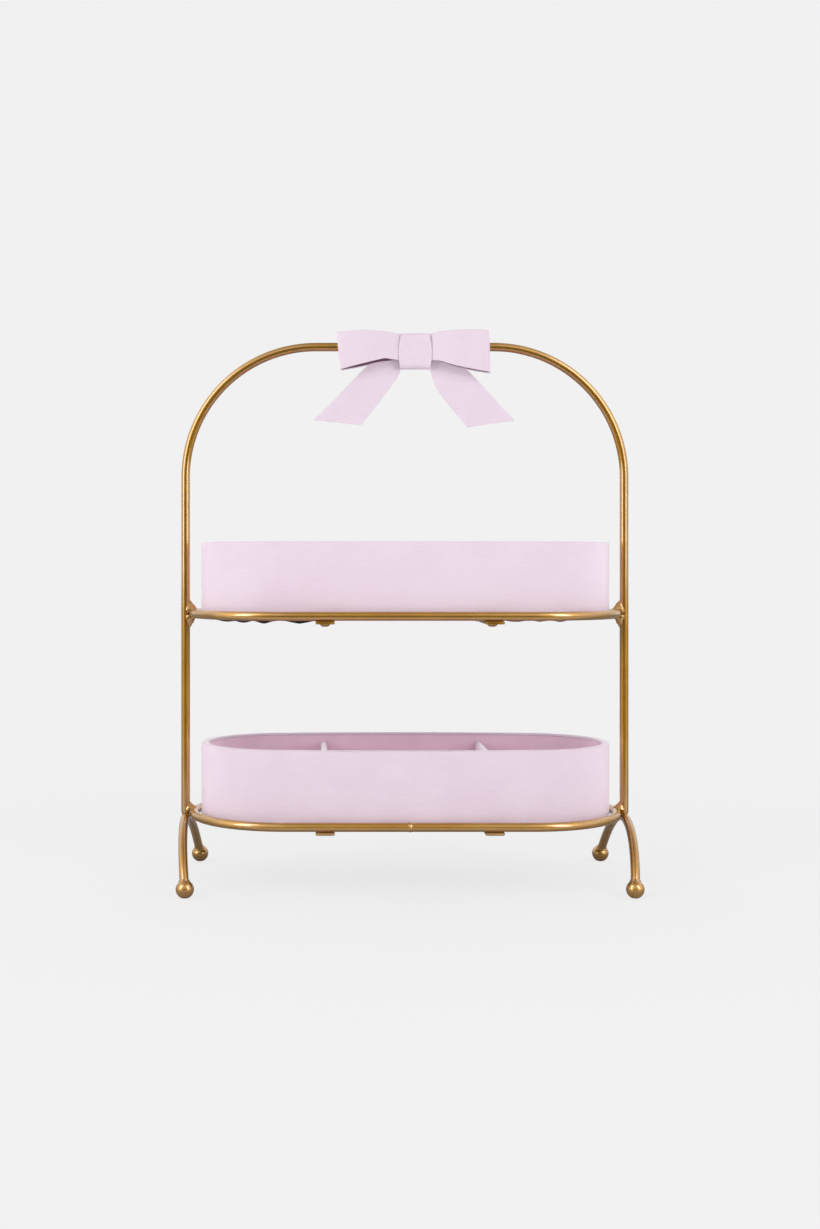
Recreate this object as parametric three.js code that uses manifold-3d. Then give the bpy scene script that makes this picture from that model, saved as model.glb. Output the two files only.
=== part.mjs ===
// Two-tier jewellery stand: a welded rod frame with two lined oval trays and a bow tied to its handle.
import * as THREE from 'three';
import { mergeVertices } from 'three/addons/utils/BufferGeometryUtils.js';
import Module from 'manifold-3d';

const wasm = await Module();
wasm.setup();

// Driving dimensions in millimetres: X runs to the right, -Y is the front, Z rises from the floor.

// Frame of bent round rod
const ROD_DIAMETER = 5;
const FRAME_WIDTH = 252.4; // between the centre lines of the two uprights
const HANDLE_RISE = 112.6; // from the upper rim to the centre line of the handle
const HANDLE_CORNER_RADIUS = 75;
const RING_DEPTH = 107.5; // between the centre lines of the front and rear rails
const LOWER_RING_HEIGHT = 38.3; // from the floor to the ring's centre line
const TIER_SPACING = 114.2;
const WELD_GAP = 0.3; // left between two welded pieces

// Weld metal on the rings and the feet
const BUTT_BEAD_LENGTH = 2.6;
const BUTT_BEAD_RISE = 0.35;
const FILLET_REACH = 4.4; // from the upright towards the tray
const FILLET_WIDTH = 7; // from front to rear
const FILLET_RISE = 7.5;
const UPPER_FILLET_FALL = 9;
const LOWER_FILLET_FALL = 3;
const FILLET_TIP_SHARE = 0.15; // of the reach and width, left where the fillet runs out
const FILLET_TIP_SINK = 1.3; // how far the fillet draws back into the upright there
const FILLET_TAPER_POWER = 1.4; // 1 tapers evenly, more keeps the middle full
const FOOT_BEAD_WIDTH = 0.9; // of the bead round the leg where it enters its ball
const FOOT_BEAD_RISE = 0.7; // above the ball

// Legs and feet
const LEG_SINK = 3.1; // from the lower ring's centre line down to the top of the leg's centre line
const LEG_LEAN = 4.2; // how far the feet stand in from the uprights
const FOOT_SPREAD = 106; // between the centres of the front and rear feet
const BALL_DIAMETER = 10;
const BALL_FLAT = 4; // diameter of the flat that touches the floor
const BALL_SOCKET = 3; // how deep the rod enters the ball

// Cross straps under the rings
const STRAP_SPACING = 92;
const STRAP_WIDTH = 10.4;
const STRAP_THICKNESS = 1.6;
const STRAP_SETBACK = 0.8; // the strap's end behind the outside of the rail
const SEAT_GAP = 0.1; // between flat pieces that lie on each other

// Screws through the straps
const SCREW_INSET = 15; // from the strap's end to the screw
const SCREW_HEAD_DIAMETER = 5.6;
const SCREW_HEAD_HEIGHT = 1.9;
const SCREW_HEAD_EDGE = 0.4; // height of the head's straight edge
const SCREW_RECESS_SPAN = 3; // of the cross in the head
const SCREW_RECESS_WIDTH = 0.8;
const SCREW_RECESS_DEPTH = 1;
const SCREW_SHANK_DIAMETER = 2.9;
const SCREW_BITE = 2.2; // length in the base board
const SCREW_CLEARANCE = 0.3;

// Trays
const TRAY_CLEARANCE = 1.5; // between the tray and the inside of its ring
const TRAY_HEIGHT = 43.3;
const SIDE_BOW = 3.5; // outward bow of the long sides
const SKIN_THICKNESS = 0.8; // leatherette and lining
const WALL_BOARD_THICKNESS = 2.4;
const BASE_BOARD_THICKNESS = 3;
const FELT_THICKNESS = 1;
const FELT_SETBACK = 1.5;
const GLUE_GAP = 0.2;
const RIM_ROUND = 1;
const RIM_HEM = 1.2; // leatherette turned down inside the rim
const BASE_HEM = 5; // leatherette turned in under the wall
const DIVIDER_SPACING = 93;
const DIVIDER_THICKNESS = 3.8;
const DIVIDER_BELOW_RIM = 5;
const DIVIDER_GAP = 0.3;

// Bow of leatherette strap
const BOW_OFFSET = 5.5; // to the right of the handle's middle
const BOW_SPAN = 87.5;
const BOW_THICKNESS = 1.2;
const BOW_GAP = 0.3; // between the layers under the knot
const KNOT_WIDTH = 19;
const KNOT_HEIGHT = 20.4;
const KNOT_OVER_ROD = 4.4; // from the top of the rod to the top of the knot
const KNOT_CORNER = 1.6;
const LOOP_END_HEIGHT = 24;
const LOOP_END_RISE = 1.1; // above the top of the knot
const LOOP_PINCH_RISE = 3.2; // from the inside of the knot up to the pinched lower edge
const LOOP_PUFF = 5;
const LOOP_FOLD_RADIUS = 1.5;
const TAIL_CLAMP_MARGIN = 1; // between the tail's edges and the inside of the knot
const TAIL_OUTER_REACH = 57; // from the knot's middle to the outer corner of a tail
const TAIL_OUTER_DROP = 39.4;
const TAIL_INNER_REACH = 30.6;
const TAIL_INNER_DROP = 43;
const TAIL_SWING = 3; // how far the tail's end stands forward of its clamped part

// How finely round forms are divided
const ROD_SIDES = 10;
const BEND_STEPS = 12;
const RING_END_STEPS = 18;
const LEG_STEPS = 12;
const TRAY_END_STEPS = 14;
const TRAY_SIDE_STEPS = 6;
const BALL_SIDES = 14;
const BALL_STEPS = 8;
const SCREW_SIDES = 10;
const SCREW_HEAD_STEPS = 3;
const HOLE_STEPS = 5;
const FILLET_STEPS = 3;
const RIM_STEPS = 2;
const LOOP_STEPS = 5;
const LOOP_FOLD_STEPS = 6;
const TAIL_STEPS = 6;
const KNOT_CORNER_STEPS = 3;
const MERGE_DISTANCE = 1e-4; // corners closer than this are one corner
const QUARTER_TURN = Math.PI / 2;

// Places that follow from the dimensions
const ROD_RADIUS = ROD_DIAMETER / 2;
const UPRIGHT_X = FRAME_WIDTH / 2;
const RING_HALF_LENGTH = UPRIGHT_X - ROD_DIAMETER - WELD_GAP;
const RING_HALF_DEPTH = RING_DEPTH / 2;
const UPPER_RING_HEIGHT = LOWER_RING_HEIGHT + TIER_SPACING;
const STRAP_TOP = -ROD_RADIUS - WELD_GAP; // below the ring's centre line
const TRAY_BOTTOM = STRAP_TOP + SEAT_GAP;
const HANDLE_HEIGHT = UPPER_RING_HEIGHT + TRAY_BOTTOM + TRAY_HEIGHT + HANDLE_RISE;
const LEG_TOP = LOWER_RING_HEIGHT - LEG_SINK;
const BALL_RADIUS = BALL_DIAMETER / 2;
const FOOT_HEIGHT = Math.sqrt(BALL_RADIUS ** 2 - (BALL_FLAT / 2) ** 2);
const STRAP_HALF_LENGTH = RING_HALF_DEPTH + ROD_RADIUS - STRAP_SETBACK;
const SCREW_Y = STRAP_HALF_LENGTH - SCREW_INSET;
const SCREW_HOLE_RADIUS = SCREW_SHANK_DIAMETER / 2 + SCREW_CLEARANCE;

// Heights inside a tray, from the underside of its felt
const HEM_BOTTOM = FELT_THICKNESS + GLUE_GAP;
const BOARD_BOTTOM = HEM_BOTTOM + SKIN_THICKNESS + GLUE_GAP;
const PAD_BOTTOM = BOARD_BOTTOM + BASE_BOARD_THICKNESS + GLUE_GAP;
const LINING_BOTTOM = PAD_BOTTOM + SKIN_THICKNESS + GLUE_GAP;

// Depths into the tray wall, from its outside
const BOARD_OUTSIDE = SKIN_THICKNESS + GLUE_GAP;
const BOARD_INSIDE = BOARD_OUTSIDE + WALL_BOARD_THICKNESS;
const LINING_OUTSIDE = BOARD_INSIDE + GLUE_GAP;
const WALL_INSIDE = LINING_OUTSIDE + SKIN_THICKNESS;

// Turns a mesh's triangles so that they face out of the closed body.
function facingOut(geometry) {
  const position = geometry.attributes.position;
  const index = geometry.index.array;
  const [a, b, c] = [new THREE.Vector3(), new THREE.Vector3(), new THREE.Vector3()];
  let volume = 0;
  for (let i = 0; i < index.length; i += 3) {
    a.fromBufferAttribute(position, index[i]);
    b.fromBufferAttribute(position, index[i + 1]);
    c.fromBufferAttribute(position, index[i + 2]);
    volume += a.dot(b.cross(c));
  }
  if (volume < 0) {
    geometry.setIndex([...index].reverse());
  }
  return geometry;
}

// Closed body through rings of equally many points; a loop joins its last ring to its first.
function loft(rings, isLoop = false) {
  const count = rings[0].length;
  const last = rings.length - 1;
  const index = [];
  for (let i = 0; i < (isLoop ? rings.length : last); i++) {
    const near = i * count;
    const far = ((i + 1) % rings.length) * count;
    for (let j = 0; j < count; j++) {
      const k = (j + 1) % count;
      index.push(near + j, near + k, far + k, near + j, far + k, far + j);
    }
  }
  if (!isLoop) {
    for (let j = 1; j < count - 1; j++) {
      index.push(0, j + 1, j);
      index.push(last * count, last * count + j, last * count + j + 1);
    }
  }
  const geometry = new THREE.BufferGeometry();
  const positions = rings.flat().flatMap((point) => point.toArray());
  geometry.setAttribute('position', new THREE.Float32BufferAttribute(positions, 3));
  geometry.setIndex(index);
  return facingOut(geometry);
}

// Body of revolution about Z from a profile of [radius, height] points.
function revolve(profile, sides) {
  const points = profile.map(([radius, height]) => new THREE.Vector2(radius, height));
  return new THREE.LatheGeometry(points, sides).rotateX(QUARTER_TURN);
}

// Flat plate of a shape in X and Y, from one height up.
function plate(shape, bottom, thickness) {
  const geometry = new THREE.ExtrudeGeometry(shape, {
    depth: thickness,
    bevelEnabled: false,
    curveSegments: HOLE_STEPS,
  });
  return geometry.translate(0, 0, bottom);
}

// Turns a mesh into a solid that can be joined and cut.
function solid(geometry) {
  const bare = geometry.clone();
  bare.deleteAttribute('normal');
  bare.deleteAttribute('uv');
  const merged = mergeVertices(bare, MERGE_DISTANCE);
  const corners = merged.index.array;
  const triVerts = [];
  for (let i = 0; i < corners.length; i += 3) {
    const [a, b, c] = corners.slice(i, i + 3);
    if (a !== b && b !== c && c !== a) {
      triVerts.push(a, b, c);
    }
  }
  return new wasm.Manifold(new wasm.Mesh({
    numProp: 3,
    vertProperties: new Float32Array(merged.attributes.position.array),
    triVerts: new Uint32Array(triVerts),
  }));
}

// Joins some meshes to a body, then cuts others out of it.
function shaped(body, joined, cut) {
  let result = solid(body);
  for (const piece of joined) {
    result = result.add(solid(piece));
  }
  for (const piece of cut) {
    result = result.subtract(solid(piece));
  }
  const mesh = result.getMesh();
  const geometry = new THREE.BufferGeometry();
  geometry.setAttribute('position', new THREE.BufferAttribute(mesh.vertProperties, 3));
  geometry.setIndex(new THREE.BufferAttribute(mesh.triVerts, 1));
  return geometry;
}

const finishes = {
  gold: { color: 0xb08a45, roughness: 0.38, metalness: 0.9 },
  steel: { color: 0xb9964f, roughness: 0.35, metalness: 1 },
  leatherette: { color: 0xecdaea, roughness: 0.62, metalness: 0 },
  lining: { color: 0xcfaec8, roughness: 0.95, metalness: 0 },
  board: { color: 0xa98f72, roughness: 0.9, metalness: 0 },
  felt: { color: 0x222024, roughness: 1, metalness: 0 },
};

// Named sub-part with a finish of its own.
function part(name, geometry, finish) {
  const mesh = new THREE.Mesh(geometry, new THREE.MeshStandardMaterial(finishes[finish]));
  mesh.name = name;
  return mesh;
}

// Points of an arc in a plane with the direction of travel at each.
function arc(centreU, centreV, radius, from, to, steps) {
  const turn = Math.sign(to - from);
  return Array.from({ length: steps + 1 }, (_, i) => {
    const angle = from + ((to - from) * i) / steps;
    return {
      u: centreU + radius * Math.cos(angle),
      v: centreV + radius * Math.sin(angle),
      du: -turn * Math.sin(angle),
      dv: turn * Math.cos(angle),
    };
  });
}

// Round rod through stations of a flat path, each with a point, a direction and any local swelling.
function rod(stations, planeNormal, radius, isLoop = false) {
  const rings = stations.map(({ point, direction, swell = 0 }) => {
    const across = new THREE.Vector3().crossVectors(planeNormal, direction).normalize();
    return Array.from({ length: ROD_SIDES }, (_, i) => {
      const angle = (2 * Math.PI * i) / ROD_SIDES;
      return point.clone()
        .addScaledVector(across, (radius + swell) * Math.cos(angle))
        .addScaledVector(planeNormal, (radius + swell) * Math.sin(angle));
    });
  });
  return loft(rings, isLoop);
}

// Both uprights and the handle, bent from one rod.
function archRod() {
  const foot = LEG_TOP + ROD_RADIUS + WELD_GAP;
  const bendX = UPRIGHT_X - HANDLE_CORNER_RADIUS;
  const bendZ = HANDLE_HEIGHT - HANDLE_CORNER_RADIUS;
  const path = [
    { u: -UPRIGHT_X, v: foot, du: 0, dv: 1 },
    ...arc(-bendX, bendZ, HANDLE_CORNER_RADIUS, 2 * QUARTER_TURN, QUARTER_TURN, BEND_STEPS),
    ...arc(bendX, bendZ, HANDLE_CORNER_RADIUS, QUARTER_TURN, 0, BEND_STEPS),
    { u: UPRIGHT_X, v: foot, du: 0, dv: -1 },
  ];
  const stations = path.map(({ u, v, du, dv }) => ({
    point: new THREE.Vector3(u, 0, v),
    direction: new THREE.Vector3(du, 0, dv),
  }));
  return rod(stations, new THREE.Vector3(0, 1, 0), ROD_RADIUS);
}

// Bend of a leg's centre line: its radius, the angle from its top to a foot, and its lean per height.
const LEG_FALL = LEG_TOP - FOOT_HEIGHT;
const LEG_BEND_RADIUS = ((FOOT_SPREAD / 2) ** 2 + LEG_FALL ** 2) / (2 * LEG_FALL);
const LEG_SWEEP = Math.atan2(FOOT_SPREAD / 2, LEG_BEND_RADIUS - LEG_FALL);
const LEG_LEAN_SLOPE = LEG_LEAN / LEG_FALL;

// Leg bent under an upright, from the rear foot over its top to the front foot.
function legRod(side, radius, endTrim) {
  const sweep = LEG_SWEEP - endTrim / LEG_BEND_RADIUS;
  const lean = side * LEG_LEAN_SLOPE;
  const stations = Array.from({ length: LEG_STEPS + 1 }, (_, i) => {
    const angle = sweep * (1 - (2 * i) / LEG_STEPS);
    const sunk = LEG_BEND_RADIUS * (1 - Math.cos(angle));
    const x = side * UPRIGHT_X - lean * sunk;
    return {
      point: new THREE.Vector3(x, LEG_BEND_RADIUS * Math.sin(angle), LEG_TOP - sunk),
      direction: new THREE.Vector3(lean * Math.sin(angle), -Math.cos(angle), Math.sin(angle)).normalize(),
    };
  });
  return rod(stations, new THREE.Vector3(1, 0, -lean).normalize(), radius);
}

// Ball foot with a flat underside, a socket for its leg and a weld bead round the socket's mouth.
function ballFoot(side, end) {
  const lowest = Math.asin(-FOOT_HEIGHT / BALL_RADIUS);
  const round = arc(0, 0, BALL_RADIUS, lowest, QUARTER_TURN, BALL_STEPS).map(({ u, v }) => [u, v]);
  round[BALL_STEPS][0] = 0;
  const ball = revolve([[0, -FOOT_HEIGHT], ...round], BALL_SIDES);
  const beadTop = BALL_RADIUS + FOOT_BEAD_RISE;
  const beadRadius = ROD_RADIUS + FOOT_BEAD_WIDTH;
  const bead = revolve([[0, 0], [beadRadius, 0], [beadRadius, beadTop], [0, beadTop]], BALL_SIDES);
  bead.rotateX(end * (QUARTER_TURN - LEG_SWEEP));
  bead.rotateY(side * Math.atan(LEG_LEAN_SLOPE));
  const body = shaped(ball, [bead], []);
  body.translate(side * (UPRIGHT_X - LEG_LEAN), (end * FOOT_SPREAD) / 2, FOOT_HEIGHT);
  const socket = legRod(side, ROD_RADIUS + WELD_GAP, BALL_RADIUS - BALL_SOCKET - WELD_GAP);
  return shaped(body, [], [socket]);
}

// Weld metal between a ring's end and an upright: widest on the ring, running out up and down the upright.
function weldFillet(side, fall) {
  const rings = Array.from({ length: 2 * FILLET_STEPS + 1 }, (_, step) => {
    const level = step / FILLET_STEPS - 1;
    const lost = (1 - FILLET_TIP_SHARE) * Math.abs(level) ** FILLET_TAPER_POWER;
    const height = level * (level < 0 ? fall : FILLET_RISE);
    const centre = UPRIGHT_X - ROD_RADIUS + FILLET_TIP_SINK * lost;
    return Array.from({ length: ROD_SIDES }, (__, i) => {
      const angle = (2 * Math.PI * i) / ROD_SIDES;
      const x = centre + FILLET_REACH * (1 - lost) * Math.cos(angle);
      const y = (FILLET_WIDTH / 2) * (1 - lost) * Math.sin(angle);
      return new THREE.Vector3(side * x, y, height);
    });
  });
  return loft(rings);
}

// Long ring with round ends, butt-welded in the middle of one rail and fillet-welded at both ends.
function ring(filletFall, height, isSeamInFront) {
  const endX = RING_HALF_LENGTH - RING_HALF_DEPTH;
  const bead = [-BUTT_BEAD_LENGTH / 2, 0, BUTT_BEAD_LENGTH / 2].map((u) => ({
    u, v: -RING_HALF_DEPTH, du: 1, dv: 0, swell: u === 0 ? BUTT_BEAD_RISE : 0,
  }));
  const path = [
    ...bead,
    ...arc(endX, 0, RING_HALF_DEPTH, -QUARTER_TURN, QUARTER_TURN, RING_END_STEPS),
    ...arc(-endX, 0, RING_HALF_DEPTH, QUARTER_TURN, 3 * QUARTER_TURN, RING_END_STEPS),
  ];
  const stations = path.map(({ u, v, du, dv, swell }) => ({
    point: new THREE.Vector3(u, v, 0),
    direction: new THREE.Vector3(du, dv, 0),
    swell,
  }));
  const bent = rod(stations, new THREE.Vector3(0, 0, 1), ROD_RADIUS, true);
  bent.rotateZ(isSeamInFront ? 0 : Math.PI);
  const cutters = [-1, 1].flatMap((side) => {
    const upright = new THREE.CylinderGeometry(
      ROD_RADIUS + WELD_GAP, ROD_RADIUS + WELD_GAP, TIER_SPACING, ROD_SIDES * 2,
    );
    upright.rotateX(QUARTER_TURN).translate(side * UPRIGHT_X, 0, 0);
    const leg = legRod(side, ROD_RADIUS + WELD_GAP, 0).translate(0, 0, -height);
    return [upright, leg];
  });
  return shaped(bent, [weldFillet(-1, filletFall), weldFillet(1, filletFall)], cutters);
}

function roundHole(x, y) {
  return new THREE.Path().absarc(x, y, SCREW_HOLE_RADIUS, 0, 2 * Math.PI, true);
}

// Flat bar across the ring with a screw hole near each end.
function strap(x) {
  const shape = new THREE.Shape([
    new THREE.Vector2(x - STRAP_WIDTH / 2, -STRAP_HALF_LENGTH),
    new THREE.Vector2(x + STRAP_WIDTH / 2, -STRAP_HALF_LENGTH),
    new THREE.Vector2(x + STRAP_WIDTH / 2, STRAP_HALF_LENGTH),
    new THREE.Vector2(x - STRAP_WIDTH / 2, STRAP_HALF_LENGTH),
  ]);
  shape.holes.push(roundHole(x, -SCREW_Y), roundHole(x, SCREW_Y));
  return plate(shape, STRAP_TOP - STRAP_THICKNESS, STRAP_THICKNESS);
}

// Pan-head screw standing on its head, with a cross recess and the seat of the head at height zero.
function screw() {
  const headRadius = SCREW_HEAD_DIAMETER / 2;
  const shankRadius = SCREW_SHANK_DIAMETER / 2;
  const tip = SEAT_GAP + STRAP_THICKNESS + SEAT_GAP + BOARD_BOTTOM + SCREW_BITE;
  const dome = arc(0, 0, 1, -QUARTER_TURN, 0, SCREW_HEAD_STEPS).map(({ u, v }) => [
    u * headRadius, v * (SCREW_HEAD_HEIGHT - SCREW_HEAD_EDGE) - SCREW_HEAD_EDGE,
  ]);
  dome[0][0] = 0;
  const body = revolve([
    ...dome,
    [headRadius, 0],
    [shankRadius, 0],
    [shankRadius, tip - shankRadius],
    [0, tip],
  ], SCREW_SIDES);
  const slots = [0, QUARTER_TURN].map((turn) => {
    const slot = new THREE.BoxGeometry(SCREW_RECESS_SPAN, SCREW_RECESS_WIDTH, 2 * SCREW_RECESS_DEPTH);
    return slot.rotateZ(turn).translate(0, 0, -SCREW_HEAD_HEIGHT);
  });
  return shaped(body, [], slots);
}

// Outside of the tray seen from above: round ends joined by slightly bowed long sides.
const trayOutline = (() => {
  const halfLength = RING_HALF_LENGTH - ROD_RADIUS - TRAY_CLEARANCE;
  const halfDepth = RING_HALF_DEPTH - ROD_RADIUS - TRAY_CLEARANCE;
  const endRadius = halfDepth - SIDE_BOW;
  const sideRadius = (halfLength ** 2 - 2 * halfLength * endRadius + halfDepth ** 2) / (2 * SIDE_BOW);
  const endX = halfLength - endRadius;
  const sideY = sideRadius - halfDepth;
  const meet = Math.atan2(sideY, endX);
  const arcs = [
    arc(endX, 0, endRadius, -meet, meet, TRAY_END_STEPS),
    arc(0, -sideY, sideRadius, meet, Math.PI - meet, TRAY_SIDE_STEPS),
    arc(-endX, 0, endRadius, Math.PI - meet, Math.PI + meet, TRAY_END_STEPS),
    arc(0, sideY, sideRadius, Math.PI + meet, 2 * Math.PI - meet, TRAY_SIDE_STEPS),
  ];
  return arcs.flatMap((stations) => stations.slice(0, -1));
})();

// Point at a depth inside the outline at one of its stations.
function insetPoint({ u, v, du, dv }, depth) {
  return [u - depth * dv, v + depth * du];
}

// Half of the tray's inside width across the tray at a place along it.
function halfWidthAt(x, depth) {
  const inner = trayOutline.map((station) => insetPoint(station, depth));
  for (let i = 0; i < inner.length; i++) {
    const [x1, y1] = inner[i];
    const [x2, y2] = inner[(i + 1) % inner.length];
    if (y1 > 0 && x2 <= x && x < x1) {
      return y1 + ((y2 - y1) * (x1 - x)) / (x1 - x2);
    }
  }
  return 0;
}

// Wall of a closed section of [depth, height] points carried round the outline.
function trayWall(section) {
  const rings = trayOutline.map((station) => section.map(([depth, height]) => {
    const [x, y] = insetPoint(station, depth);
    return new THREE.Vector3(x, y, height);
  }));
  return loft(rings, true);
}

// Plate of the outline's shape, set in from it.
function trayPlate(depth, bottom, thickness, holes = []) {
  const corners = trayOutline.map((station) => new THREE.Vector2(...insetPoint(station, depth)));
  const shape = new THREE.Shape(corners);
  shape.holes.push(...holes);
  return plate(shape, bottom, thickness);
}

// Leatherette outside of the wall, turned in under its foot and over its rim.
function outerWrap() {
  const rimTop = TRAY_HEIGHT;
  const underRim = TRAY_HEIGHT - SKIN_THICKNESS;
  const hemTop = HEM_BOTTOM + SKIN_THICKNESS;
  const shoulder = rimTop - RIM_ROUND;
  const outerEdge = arc(RIM_ROUND, shoulder, RIM_ROUND, 2 * QUARTER_TURN, QUARTER_TURN, RIM_STEPS);
  const innerEdge = arc(WALL_INSIDE - RIM_ROUND, shoulder, RIM_ROUND, QUARTER_TURN, 0, RIM_STEPS);
  return trayWall([
    [0, HEM_BOTTOM],
    ...[...outerEdge, ...innerEdge].map(({ u, v }) => [u, v]),
    [WALL_INSIDE, rimTop - RIM_HEM],
    [LINING_OUTSIDE, rimTop - RIM_HEM],
    [LINING_OUTSIDE, underRim],
    [SKIN_THICKNESS, underRim],
    [SKIN_THICKNESS, hemTop],
    [BASE_HEM, hemTop],
    [BASE_HEM, HEM_BOTTOM],
  ]);
}

// Upright band of a wall between two depths and two heights.
function wallBand(outside, inside, bottom, top) {
  return trayWall([[outside, bottom], [outside, top], [inside, top], [inside, bottom]]);
}

// Board under the floor with a blind hole over each screw.
function baseBoard(screwPlaces) {
  const board = trayPlate(LINING_OUTSIDE, BOARD_BOTTOM, BASE_BOARD_THICKNESS);
  const depth = SCREW_BITE + SCREW_CLEARANCE;
  const holes = screwPlaces.map(([x, y]) => {
    const drill = new THREE.CylinderGeometry(SCREW_HOLE_RADIUS, SCREW_HOLE_RADIUS, 2 * depth, SCREW_SIDES);
    return drill.rotateX(QUARTER_TURN).translate(x, y, BOARD_BOTTOM);
  });
  return shaped(board, [], holes);
}

// Upright divider with a rounded top, from wall to wall.
function divider(x) {
  const half = DIVIDER_THICKNESS / 2;
  const shoulder = TRAY_HEIGHT - DIVIDER_BELOW_RIM - half;
  const foot = [-half, half].map((edge) => new THREE.Vector2(edge, LINING_BOTTOM));
  const shape = new THREE.Shape(foot);
  shape.absarc(0, shoulder, half, 0, Math.PI, false);
  const narrowest = Math.min(halfWidthAt(x - half, WALL_INSIDE), halfWidthAt(x + half, WALL_INSIDE));
  const halfLength = narrowest - DIVIDER_GAP;
  return plate(shape, -halfLength, 2 * halfLength).rotateX(QUARTER_TURN).translate(x, 0, 0);
}

// Lined tray whose felt underside is at height zero.
function tray(name, screwPlaces) {
  const group = new THREE.Group();
  const feltHoles = screwPlaces.map(([x, y]) => roundHole(x, y));
  const liningTop = TRAY_HEIGHT - RIM_HEM - GLUE_GAP;
  const boardTop = TRAY_HEIGHT - SKIN_THICKNESS - GLUE_GAP;
  const wallBoard = wallBand(BOARD_OUTSIDE, BOARD_INSIDE, BOARD_BOTTOM, boardTop);
  const lining = wallBand(LINING_OUTSIDE, WALL_INSIDE, LINING_BOTTOM, liningTop);
  group.add(
    part(`${name}_tray_outer_wrap`, outerWrap(), 'leatherette'),
    part(`${name}_tray_wall_board`, wallBoard, 'board'),
    part(`${name}_tray_inner_lining`, lining, 'lining'),
    part(`${name}_tray_base_board`, baseBoard(screwPlaces), 'board'),
    part(`${name}_tray_floor_pad`, trayPlate(LINING_OUTSIDE, PAD_BOTTOM, SKIN_THICKNESS), 'lining'),
    part(`${name}_tray_base_felt`, trayPlate(FELT_SETBACK, 0, FELT_THICKNESS, feltHoles), 'felt'),
    part(`${name}_tray_left_divider`, divider(-DIVIDER_SPACING / 2), 'leatherette'),
    part(`${name}_tray_right_divider`, divider(DIVIDER_SPACING / 2), 'leatherette'),
  );
  return group;
}

// One tier: its ring, straps, screws and tray, about the ring's centre line.
function tier(name, height, filletFall, isSeamInFront) {
  const group = new THREE.Group();
  group.position.z = height;
  group.add(part(`${name}_ring`, ring(filletFall, height, isSeamInFront), 'gold'));
  const screwPlaces = [];
  for (const [side, x] of [['left', -STRAP_SPACING / 2], ['right', STRAP_SPACING / 2]]) {
    group.add(part(`${name}_${side}_strap`, strap(x), 'gold'));
    for (const [end, y] of [['front', -SCREW_Y], ['rear', SCREW_Y]]) {
      const fastener = part(`${name}_${side}_${end}_screw`, screw(), 'steel');
      fastener.position.set(x, y, STRAP_TOP - STRAP_THICKNESS - SEAT_GAP);
      group.add(fastener);
      screwPlaces.push([x, y]);
    }
  }
  const lined = tray(name, screwPlaces);
  lined.position.z = TRAY_BOTTOM;
  group.add(lined);
  return group;
}

// Layers of the bow, from the handle forward, about the handle's centre line.
const TAIL_Y = -ROD_RADIUS - BOW_GAP - BOW_THICKNESS / 2;
const LOOP_BACK_Y = TAIL_Y - BOW_THICKNESS - BOW_GAP;
const LOOP_FRONT_Y = LOOP_BACK_Y - BOW_THICKNESS - BOW_GAP;
const KNOT_FRONT_Y = LOOP_FRONT_Y - BOW_THICKNESS - BOW_GAP;
const KNOT_BACK_Y = ROD_RADIUS + BOW_GAP + BOW_THICKNESS / 2;
const KNOT_TOP = ROD_RADIUS + KNOT_OVER_ROD;
const KNOT_BOTTOM = KNOT_TOP - KNOT_HEIGHT;
const LOOP_TOP = KNOT_TOP + LOOP_END_RISE;
const LOOP_BOTTOM = LOOP_TOP - LOOP_END_HEIGHT;

// Section of a strap: two edges, a thickness apart along the strap's normal.
function strapSection(lowEdge, highEdge, normal) {
  const half = BOW_THICKNESS / 2;
  return [[lowEdge, -half], [highEdge, -half], [highEdge, half], [lowEdge, half]]
    .map(([edge, offset]) => edge.clone().addScaledVector(normal, offset));
}

// Strap closed to a flat ring along X, narrow under the knot and tall at both folded ends.
function bowLoops() {
  const half = BOW_SPAN / 2;
  const straight = half - LOOP_FOLD_RADIUS - BOW_THICKNESS / 2;
  const foldFrontY = LOOP_BACK_Y - 2 * LOOP_FOLD_RADIUS;
  const knotShare = KNOT_WIDTH / 2 / straight;
  const step = (1 - knotShare) / LOOP_STEPS;
  const outward = Array.from({ length: LOOP_STEPS }, (_, i) => knotShare + step * i);
  const shares = [...outward.map((share) => -share).reverse(), ...outward];
  const front = shares.map((share) => {
    const out = Math.max(0, (Math.abs(share) - knotShare) / (1 - knotShare));
    const puff = LOOP_PUFF * Math.sin(Math.PI * out);
    return { u: share * straight, v: LOOP_FRONT_Y + (foldFrontY - LOOP_FRONT_Y) * out - puff };
  });
  const foldY = LOOP_BACK_Y - LOOP_FOLD_RADIUS;
  const path = [
    ...front,
    ...arc(straight, foldY, LOOP_FOLD_RADIUS, -QUARTER_TURN, QUARTER_TURN, LOOP_FOLD_STEPS),
    ...shares.reverse().map((share) => ({ u: share * straight, v: LOOP_BACK_Y })),
    ...arc(-straight, foldY, LOOP_FOLD_RADIUS, QUARTER_TURN, 3 * QUARTER_TURN, LOOP_FOLD_STEPS),
  ];
  const pinchTop = KNOT_TOP - BOW_THICKNESS - BOW_GAP;
  const pinchBottom = KNOT_BOTTOM + BOW_THICKNESS + LOOP_PINCH_RISE;
  const rings = path.map(({ u, v }, i) => {
    const before = path[(i + path.length - 1) % path.length];
    const after = path[(i + 1) % path.length];
    const normal = new THREE.Vector3(after.v - before.v, before.u - after.u, 0).normalize();
    const out = Math.max(0, (Math.abs(u) - KNOT_WIDTH / 2) / (half - KNOT_WIDTH / 2));
    const top = pinchTop + (LOOP_TOP - pinchTop) * out;
    const bottom = pinchBottom + (LOOP_BOTTOM - pinchBottom) * out;
    return strapSection(new THREE.Vector3(u, v, bottom), new THREE.Vector3(u, v, top), normal);
  });
  return loft(rings, true);
}

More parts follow.
